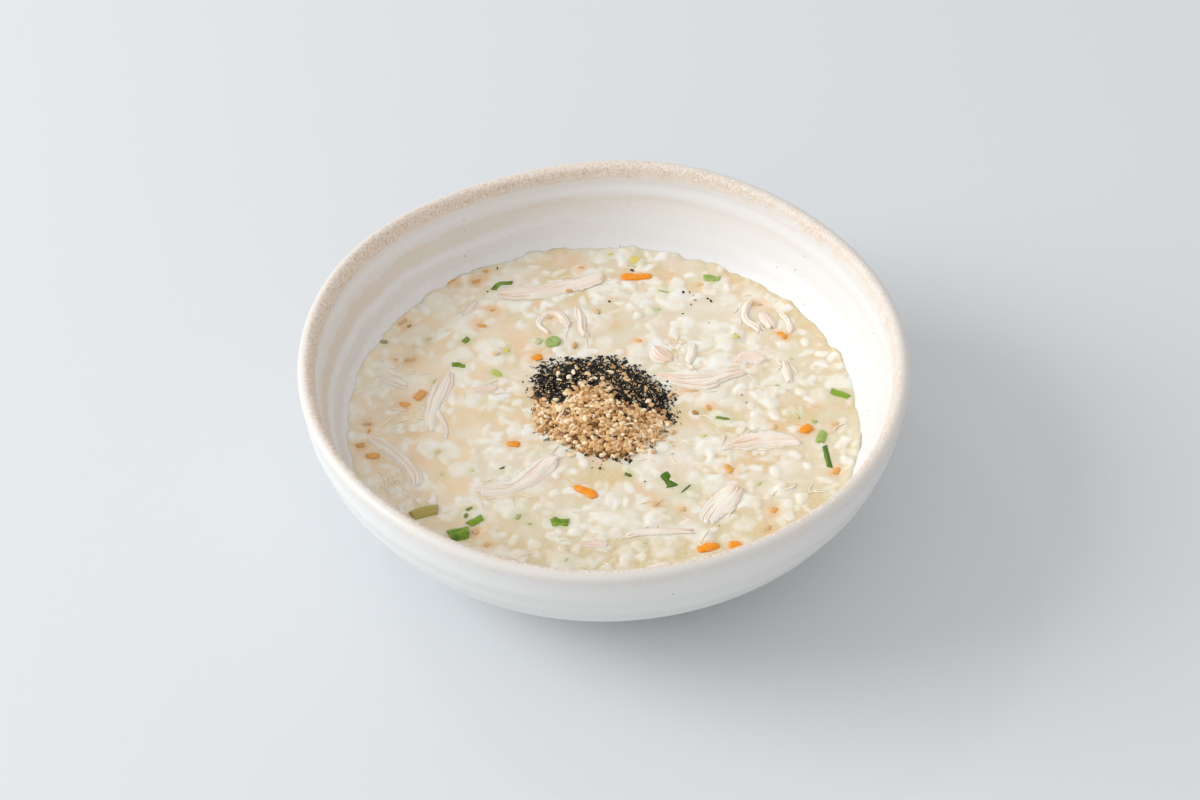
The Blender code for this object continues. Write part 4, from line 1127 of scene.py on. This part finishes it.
def leaf_points(width, wrap, places, seed, wall=0.55):
    """An arc of a tube carried along a path: out over the arc and back inside it."""
    rows, half = 16, 14
    frames = path_frames(places, rows)
    line = frames[0]
    s = np.linspace(-1, 1, rows)[:, None]
    arc = math.radians(wrap) / 2
    radius = width / 2 / math.sin(min(arc, math.pi / 2))
    over = np.linspace(1, -1, half)
    turn = np.concatenate([over, over[::-1]])[None, :] * arc
    reach = np.concatenate([np.full(half, radius), np.full(half, radius - wall)])[None, :]
    slant = 0.5 * np.sign(s) * np.abs(s) ** 5 * turn / arc
    uneven = 1 + 0.09 * lattice_noise(s * 2, turn * 2, seed)
    across = reach * np.sin(turn) * uneven
    up = (reach * np.cos(turn) * uneven - radius * math.cos(arc)) * 0.8 - wall * 0.5
    z = surface_height(line[:, 0], line[:, 1])[:, None] + 0.2 + up
    points = carried(frames, across, slant, z)
    vein = 0.5 + 0.5 * lattice_noise(turn / arc * 5.5, s * 0.6, seed + 1)
    return points, turned_faces(rows, 2 * half), np.concatenate([[0.5, 0.5], vein.ravel()])


def make_onion():
    """Leaf pieces and the standing slice of stalk."""
    for seed, (name, (width, wrap, tone, places)) in enumerate(ONION_LEAVES.items()):
        points, faces, vein = leaf_points(width, wrap, places, 400 + seed)
        marks = {"vein": vein, "tone": np.full(len(points), tone - 0.25)}
        make_piece(name.replace("onion", "leaf"), points, faces, onion_material, [name],
                   marks)
    make_onion_ring()


RING_X, RING_Y = -17.4, 36.0


def make_onion_ring():
    """A slice of stalk: rings of wall inside one another, closed flat, with grooves between the layers."""
    columns = 40
    radius = np.array([2.45, 2.6, 2.45, 1.9, 1.65, 1.4, 0.9, 0.65, 0.4])
    height = np.array([-1.2, -0.2, 0.35, 0.40, 0.18, 0.38, 0.36, 0.15, 0.10])
    a = ring_angles(columns)[None, :]
    r = radius[:, None] * (1 + 0.05 * np.sin(2 * a + 0.5))
    base = surface_height(RING_X, RING_Y) + 0.5
    z = height[:, None] + base + 0.1 * np.cos(a)
    body = np.stack([RING_X + r * np.cos(a), RING_Y + r * np.sin(a), z], axis=-1)
    points = np.vstack([[RING_X, RING_Y, base - 1.2], [RING_X, RING_Y, base + 0.1], body.reshape(-1, 3)])
    marks = {"vein": np.full(len(points), 0.5), "tone": np.full(len(points), 0.80)}
    make_piece("leaf_ring", points, turned_faces(len(radius), columns), onion_material,
               ["onion_ring"], marks)


make_onion()

# %% [markdown]
# ## The heap of seaweed and sesame
# Roasted seaweed rubbed between the fingers breaks into stiff black flakes, and sesame is ground so
# coarsely that whole seeds and broken ones stay together. Neither is a smooth mound, so a smaller dark
# core carries thousands of real flakes and crumbs; under the sesame its dark brown is partly packed dust
# and partly painted shade for the gaps between crumbs. All flakes are one array, and so are all crumbs.

# %% Heap shape
HEAP_X, HEAP_Y, HEAP_REACH, HEAP_RISE = -1.0, 4.0, 21.9, 5.0
HEAP_WAVES = {1: (-0.4, 0.3), 2: (-0.2, -1.5), 3: (0.3, 0.7), 4: (-0.4, 0.5), 5: (0.9, -0.3), 6: (-0.2, 0.4)}
DIVIDE = [(-30, 9), (-24, 8.5), (-20, 5.5), (-16, 2.5), (-12, 4), (-8, 7.8), (-3, 8.8), (1, 6), (5, 2),
          (12, 0.2), (20, -0.5), (28, -1.5)]


def heap_reach(angle):
    """Radius of the heap's uneven foot: a mean and six slow waves."""
    return HEAP_REACH + sum(a * np.cos(k * angle) + b * np.sin(k * angle) for k, (a, b) in HEAP_WAVES.items())


def heap_point(share, angle):
    """The place at a share of the way from the heap's middle to its foot: x, y."""
    reach = heap_reach(angle) * share
    return HEAP_X + reach * np.cos(angle), HEAP_Y + reach * np.sin(angle)


def heap_share(x, y):
    """0 at the heap's middle and 1 at its uneven foot."""
    u, v = x - HEAP_X, y - HEAP_Y
    return np.hypot(u, v) / heap_reach(np.arctan2(v, u))


def heap_top(x, y):
    """Height of the heap: a dome of power 1.7 with slow bumps."""
    share = np.minimum(heap_share(x, y), 1.0)
    bumps = 0.4 * np.sin(0.55 * x + 0.8) * np.cos(0.6 * y)
    return LEVEL + HEAP_RISE * (1 - share ** 1.7) + bumps * (1 - share)


def behind_divide(x, y):
    """Distance in mm behind the wandering line that parts the seaweed from the sesame."""
    line = np.array(DIVIDE, dtype=float)
    return 0.85 * (y - np.interp(x, line[:, 0], line[:, 1])) + 1.0 * rough_noise(x / 3, y / 3, 62)


def heap_material():
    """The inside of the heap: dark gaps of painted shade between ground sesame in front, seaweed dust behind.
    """
    material, tree, shader, place, dark = start_material(
        "packed_seaweed_and_sesame_dust_and_gap_shade", ("dark",), Roughness=0.8)
    grit = add(tree, "ShaderNodeTexNoise", {0: place, 2: 1400.0, 3: 3.0, 4: 0.6}).outputs[0]
    # Painted shade: the sesame side of the core is a near-black brown, partly packed dust and partly the
    # shade in the gaps between crumbs
    sesame_gap_shade = lay_over(tree, linear("#2f1d0e"), linear("#6a4726"), grit, 0.42, 0.62)
    black = lay_over(tree, linear("#0f0c09"), linear("#241d15"), grit, 0.4, 0.7)
    colour = add(tree, "ShaderNodeMix", {0: dark, 6: sesame_gap_shade, 7: black}, **COLOUR).outputs[2]
    tree.links.new(colour, shader.inputs["Base Color"])
    return material


def make_heap_core():
    """A dome a little inside the heap: rings of share by angle, closed by a flat foot below the surface."""
    columns, rows = 96, 30
    angle = ring_angles(columns)[None, :]
    share = np.concatenate([[0.86], np.linspace(0.90, 0.03, rows - 1)])[:, None]
    x, y = heap_point(share, angle)
    z = heap_top(x, y) - 0.8 + 0.35 * rough_noise(x / 1.6, y / 1.6, 61)
    z[0] = LEVEL - 1.5
    body = np.stack([x, y, z], axis=-1).reshape(-1, 3)
    peak = heap_top(HEAP_X, HEAP_Y) - 0.8
    points = np.vstack([[HEAP_X, HEAP_Y, LEVEL - 1.5], [HEAP_X, HEAP_Y, peak], body])
    dark = smooth_step(-0.6, 0.6, behind_divide(points[:, 0], points[:, 1]))
    make_piece("heap_core", points, turned_faces(rows, columns), heap_material(), (),
               {"dark": dark})


make_heap_core()


# %% Places on the heap
def heap_places(count, rng, reach=1.0):
    """Even random places over the heap's foot and a little beyond: x, y."""
    share = np.sqrt(rng.uniform(0, reach ** 2, count))
    return heap_point(share, rng.uniform(0, 2 * math.pi, count))


def resting_height(x, y):
    """The top of whatever lies at a place: the heap inside its foot, the porridge outside."""
    porridge = porridge_top(x, y)
    return np.where(heap_share(x, y) < 1.0, np.maximum(heap_top(x, y), porridge), porridge)


# %% [markdown]
# ## Seaweed flakes
# A flake is a stiff scrap under a fifth of a millimetre thick and up to three long, nearly black with a
# warm cast, and its faces catch the window light. Each is a five-cornered plate with its own outline.

# %% Crushed seaweed
def seaweed_material():
    """Roasted laver: near black and half matt, a little browner on some flakes."""
    material, tree, shader, _, tone = start_material("roasted_laver", ("tone",), Roughness=0.5, IOR=1.45)
    colour = lay_over(tree, linear("#100b06"), linear("#302818"), tone, 0.55, 1.0)
    tree.links.new(colour, shader.inputs["Base Color"])
    return material


FAR_SPECKS = [
    (28, 61.5), (30, 62), (31.5, 60), (32, 58), (30.5, 55.5), (27.5, 51), (36.4, 58.8), (37.4, 57.6),
    (36.5, 46), (11, 75), (10, 73.5), (45.4, 39.8), (-25.5, 9.5), (24.5, 12.4), (25.6, -3.5), (22.6, -17.8),
    (-3.6, -21), (-3.8, -24.2), (-1.4, -24.6), (8, -22.6), (-2.6, 52.6), (-1.6, 50.6), (2, 57),
    (13.4, -30.8), (46.4, 10), (62, 12), (37, -50.4), (-40.6, 62), (-37.6, 74.6), (48, 6.4),
]
# A clot of wet flakes on the heap's right foot
CLOT_X, CLOT_Y, CLOT_SPREAD, CLOT_COUNT = 21.5, -1.0, 1.3, 60


def make_seaweed():
    """Plates thick over the back of the heap, thinning out over the sesame and onto the porridge."""
    rng = np.random.default_rng(31)
    x, y = heap_places(11000, rng, 1.24)
    share = heap_share(x, y)
    far = behind_divide(x, y)
    chance = np.where(far > 0, 0.95, np.where(far > -3, 0.20, 0.10)) * smooth_step(1.24, 0.90, share)
    keep = rng.uniform(size=len(x)) < chance
    clot = rng.normal((CLOT_X, CLOT_Y), CLOT_SPREAD, (CLOT_COUNT, 2))
    spots = np.array(FAR_SPECKS, dtype=float)
    x = np.concatenate([x[keep], clot[:, 0], spots[:, 0]])
    y = np.concatenate([y[keep], clot[:, 1], spots[:, 1]])
    count = len(x)
    corners = ring_angles(5)
    plate = np.stack([np.cos(corners), np.sin(corners), np.ones(5)], axis=1)
    shape = np.vstack([plate, plate * (1, 1, -1)])
    long = rng.gamma(4.0, 0.17, count).clip(0.3, 1.5)
    sizes = np.stack([long, long * rng.uniform(0.3, 0.8, count), rng.uniform(0.05, 0.09, count)], axis=1)
    outline = np.tile(rng.uniform(0.6, 1.25, (count, 5)), (1, 2))
    yaw = rng.uniform(0, 2 * math.pi, count)
    turns = turn_matrices(yaw, rng.normal(0, 0.5, count), rng.normal(0, 0.5, count))
    z = resting_height(x, y) + rng.uniform(-0.35, 0.35, count)
    z[-len(spots):] = porridge_top(spots[:, 0], spots[:, 1]) + 0.1
    stretch = np.stack([outline, outline, np.ones(outline.shape)], axis=2)
    plates = shape[None] * stretch * sizes[:, None]
    points = np.einsum("nij,nkj->nki", turns, plates) + np.stack([x, y, z], axis=1)[:, None]
    i = np.arange(5)
    j = (i + 1) % 5
    sides = np.stack([i + 5, j + 5, j, i], axis=1)
    faces = repeat_faces([sides, i[None], (i[::-1] + 5)[None]], count, 10)
    tone = np.repeat(rng.uniform(0, 1, count), 10)
    make_piece("seaweed_flakes", points, faces, seaweed_material(), ["seaweed_heap"],
               {"tone": tone})


make_seaweed()

# %% [markdown]
# ## Sesame
# Toasted sesame runs from cream to golden brown. A whole seed is a flattened teardrop 3 mm long, and a
# crumb is a seed's broken half or quarter. Both lie at every angle, so the gaps between them are dark.

# %% Ground and whole sesame
def sesame_material():
    """Toasted seed coat: dry and matt, cream to golden to brown from seed to seed."""
    material, tree, shader, place, tone = start_material("toasted_sesame", ("tone",), Roughness=0.5)
    grit = add(tree, "ShaderNodeTexNoise", {0: place, 2: 1800.0, 3: 2.0, 4: 0.5}).outputs[0]
    mixed = add(tree, "ShaderNodeMath", {0: grit, 1: 0.3, 2: tone}, operation="MULTIPLY_ADD").outputs[0]
    colour = lay_over(tree, linear("#6e4019"), linear("#c48f50"), mixed, 0.10, 0.40)
    colour = lay_over(tree, colour, linear("#e6be88"), mixed, 0.35, 0.70)
    colour = lay_over(tree, colour, linear("#fde8c4"), mixed, 0.70, 1.05)
    finish_surface(tree, shader, colour, grit, 0.3, 0.0001)
    return material


sesame_coat = sesame_material()
# A spill of fine damp powder on the heap's right foot
POWDER_X, POWDER_Y, POWDER_SPREAD, POWDER_COUNT = 15.0, -8.5, 2.6, 700


def sesame_places(count, rng, over_seaweed):
    """Places over the sesame heap, a mixed strip behind its hollow, and a share over the seaweed."""
    x, y = heap_places(count, rng, 1.14)
    near = behind_divide(x, y)
    mixed = smooth_step(-15, -11, x) * smooth_step(5, 1, x) * np.exp(-np.maximum(near, 0) / 5.0)
    over = np.maximum(over_seaweed, np.maximum(0.6 * np.exp(-np.maximum(near, 0) / 1.4), 0.5 * mixed))
    chance = np.where(near < 0, 0.96, over) * smooth_step(1.14, 0.92, heap_share(x, y))
    keep = rng.uniform(size=count) < chance
    return x[keep], y[keep]


def make_crumbs():
    """Broken seed: small lumps with every corner knocked in or out, larger in front than over the seaweed."""
    rng = np.random.default_rng(41)
    x, y = sesame_places(6600, rng, 0.28)
    powder = rng.normal((POWDER_X, POWDER_Y), POWDER_SPREAD, (POWDER_COUNT, 2))
    fine = np.concatenate([behind_divide(x, y) > 0.5, np.ones(POWDER_COUNT, dtype=bool)])
    x, y = np.concatenate([x, powder[:, 0]]), np.concatenate([y, powder[:, 1]])
    count = len(x)
    shape, faces = superellipsoid(2, 6, 0.8)
    long = np.where(fine, rng.uniform(0.20, 0.48, count), rng.gamma(6.0, 0.10, count).clip(0.3, 1.05))
    wide, thick = long * rng.uniform(0.55, 0.9, count), long * rng.uniform(0.4, 0.75, count)
    sizes = np.stack([long, wide, thick], axis=1)
    yaw = rng.uniform(0, 2 * math.pi, count)
    turns = turn_matrices(yaw, rng.normal(0, 0.6, count), rng.normal(0, 0.8, count))
    lift = np.where(fine, rng.uniform(0.0, 0.5, count), rng.uniform(-0.4, 0.3, count))
    places = np.stack([x, y, resting_height(x, y) + lift], axis=1)
    uneven = rng.uniform(0.72, 1.2, (count, len(shape)))
    points, faces = scatter(shape, faces, sizes, turns, places, uneven)
    tone = np.where(fine, rng.normal(0.62, 0.17, count), rng.normal(0.26, 0.27, count))
    make_piece("sesame_crumbs", points, faces, sesame_coat, ["sesame_heap"],
               {"tone": tone.repeat(len(shape))})


FAR_SEEDS = [(-10, 34.4, 80), (-12, 62.4, 0), (-2.2, 51.8, -60), (-10.6, -18.6, 10), (22.8, -7.6, 40),
             (16.4, -17.4, 20), (-24.4, 12.6, 60), (30.6, 1.6, -30), (-36.6, 30, 15)]


def make_seeds():
    """Whole seeds: a flattened oval narrowed to one end."""
    rng = np.random.default_rng(43)
    x, y = sesame_places(1500, rng, 0.035)
    far = np.array(FAR_SEEDS, dtype=float)
    heading = np.concatenate([rng.uniform(0, 2 * math.pi, len(x)), np.radians(far[:, 2])])
    x, y = np.concatenate([x, far[:, 0]]), np.concatenate([y, far[:, 1]])
    count = len(x)
    shape, faces = superellipsoid(6, 10, 0.95)
    narrow = 1 - 0.30 * shape[:, :1]
    shape = np.hstack([shape[:, :1], shape[:, 1:] * narrow])
    long, wide = rng.normal(1.4, 0.14, count), rng.normal(0.86, 0.09, count)
    sizes = np.stack([long, wide, rng.normal(0.55, 0.06, count)], axis=1)
    turns = turn_matrices(heading, rng.normal(0, 0.35, count), rng.normal(0, 0.45, count))
    turns[-len(far):] = turn_matrices(heading[-len(far):], np.zeros(len(far)), np.zeros(len(far)))
    z = resting_height(x, y) + rng.uniform(0.0, 0.6, count)
    z[-len(far):] = porridge_top(far[:, 0], far[:, 1]) + 0.25
    points, faces = scatter(shape, faces, sizes, turns, np.stack([x, y, z], axis=1))
    tone = np.repeat(rng.normal(0.52, 0.27, count), len(shape))
    make_piece("sesame_seeds", points, faces, sesame_coat, (), {"tone": tone})


make_crumbs()
make_seeds()

# %% [markdown]
# ## Camera, floor and light
# The picture is taken with a long lens from 44 degrees above the table. The light is one large soft
# source on the left with a pale room all round, so shadows fall to the right with wide soft edges. A
# small lamp at the back left puts sparks on the wet surface, and a weak one in front lifts the near
# wall. The floor is a matt pale sheet.

# %% Camera and studio
def look_from(place, target):
    """The rotation that turns a camera or lamp at place towards target."""
    return (Vector(target) - Vector(place)).to_track_quat("-Z", "Y").to_euler()


TARGET = (-1.26 * MM, -22.94 * MM, HEIGHT * MM)
ELEVATION = math.radians(43.95)
DISTANCE = 0.9093
camera_data = bpy.data.cameras.new("camera")
camera_data.lens = 85.0
camera_data.sensor_width = 36.0
camera = bpy.data.objects.new("camera", camera_data)
camera.location = (TARGET[0], TARGET[1] - DISTANCE * math.cos(ELEVATION),
                   TARGET[2] + DISTANCE * math.sin(ELEVATION))
camera.rotation_euler = look_from(camera.location, TARGET)
bpy.context.scene.collection.objects.link(camera)
bpy.context.scene.camera = camera


def make_lamp(name, place, size, power, colour):
    """A square soft lamp aimed at the bowl."""
    data = bpy.data.lights.new(name, "AREA")
    data.size = size
    data.energy = power
    data.color = colour
    lamp = bpy.data.objects.new(name, data)
    lamp.location = place
    lamp.rotation_euler = look_from(place, (0, 0, 0.03))
    bpy.context.scene.collection.objects.link(lamp)
    return lamp


make_lamp("window_light", (-1.732, 0.0, 1.0), 1.2, 28.0, (0.95, 0.98, 1.0))
make_lamp("far_spark", (-0.8, 0.95, 1.25), 0.05, 0.7, (1.0, 1.0, 1.0))
make_lamp("front_fill", (0.0, -1.474, 1.032), 1.6, 1.9, (1.0, 1.0, 1.0))
world = bpy.data.worlds.new("pale_room")
world.use_nodes = True
world.node_tree.nodes["Background"].inputs[0].default_value = (1.0, 0.995, 0.99, 1.0)
world.node_tree.nodes["Background"].inputs[1].default_value = 0.65
bpy.context.scene.world = world
bpy.context.scene.view_settings.view_transform = "Standard"


def make_floor():
    """A flat sheet, 3 m across, of matt pale board."""
    mesh = bpy.data.meshes.new("floor")
    half = 1.5
    corners = [(-half, -half, 0), (half, -half, 0), (half, half, 0), (-half, half, 0)]
    mesh.from_pydata(corners, [], [(0, 1, 2, 3)])
    mesh.materials.append(start_material("matt_board", Roughness=0.7, Base_Color=linear("#dee1e4"))[0])
    floor = bpy.data.objects.new("floor", mesh)
    bpy.context.scene.collection.objects.link(floor)
    return floor


make_floor()
print("camera at", [round(v, 3) for v in camera.location])
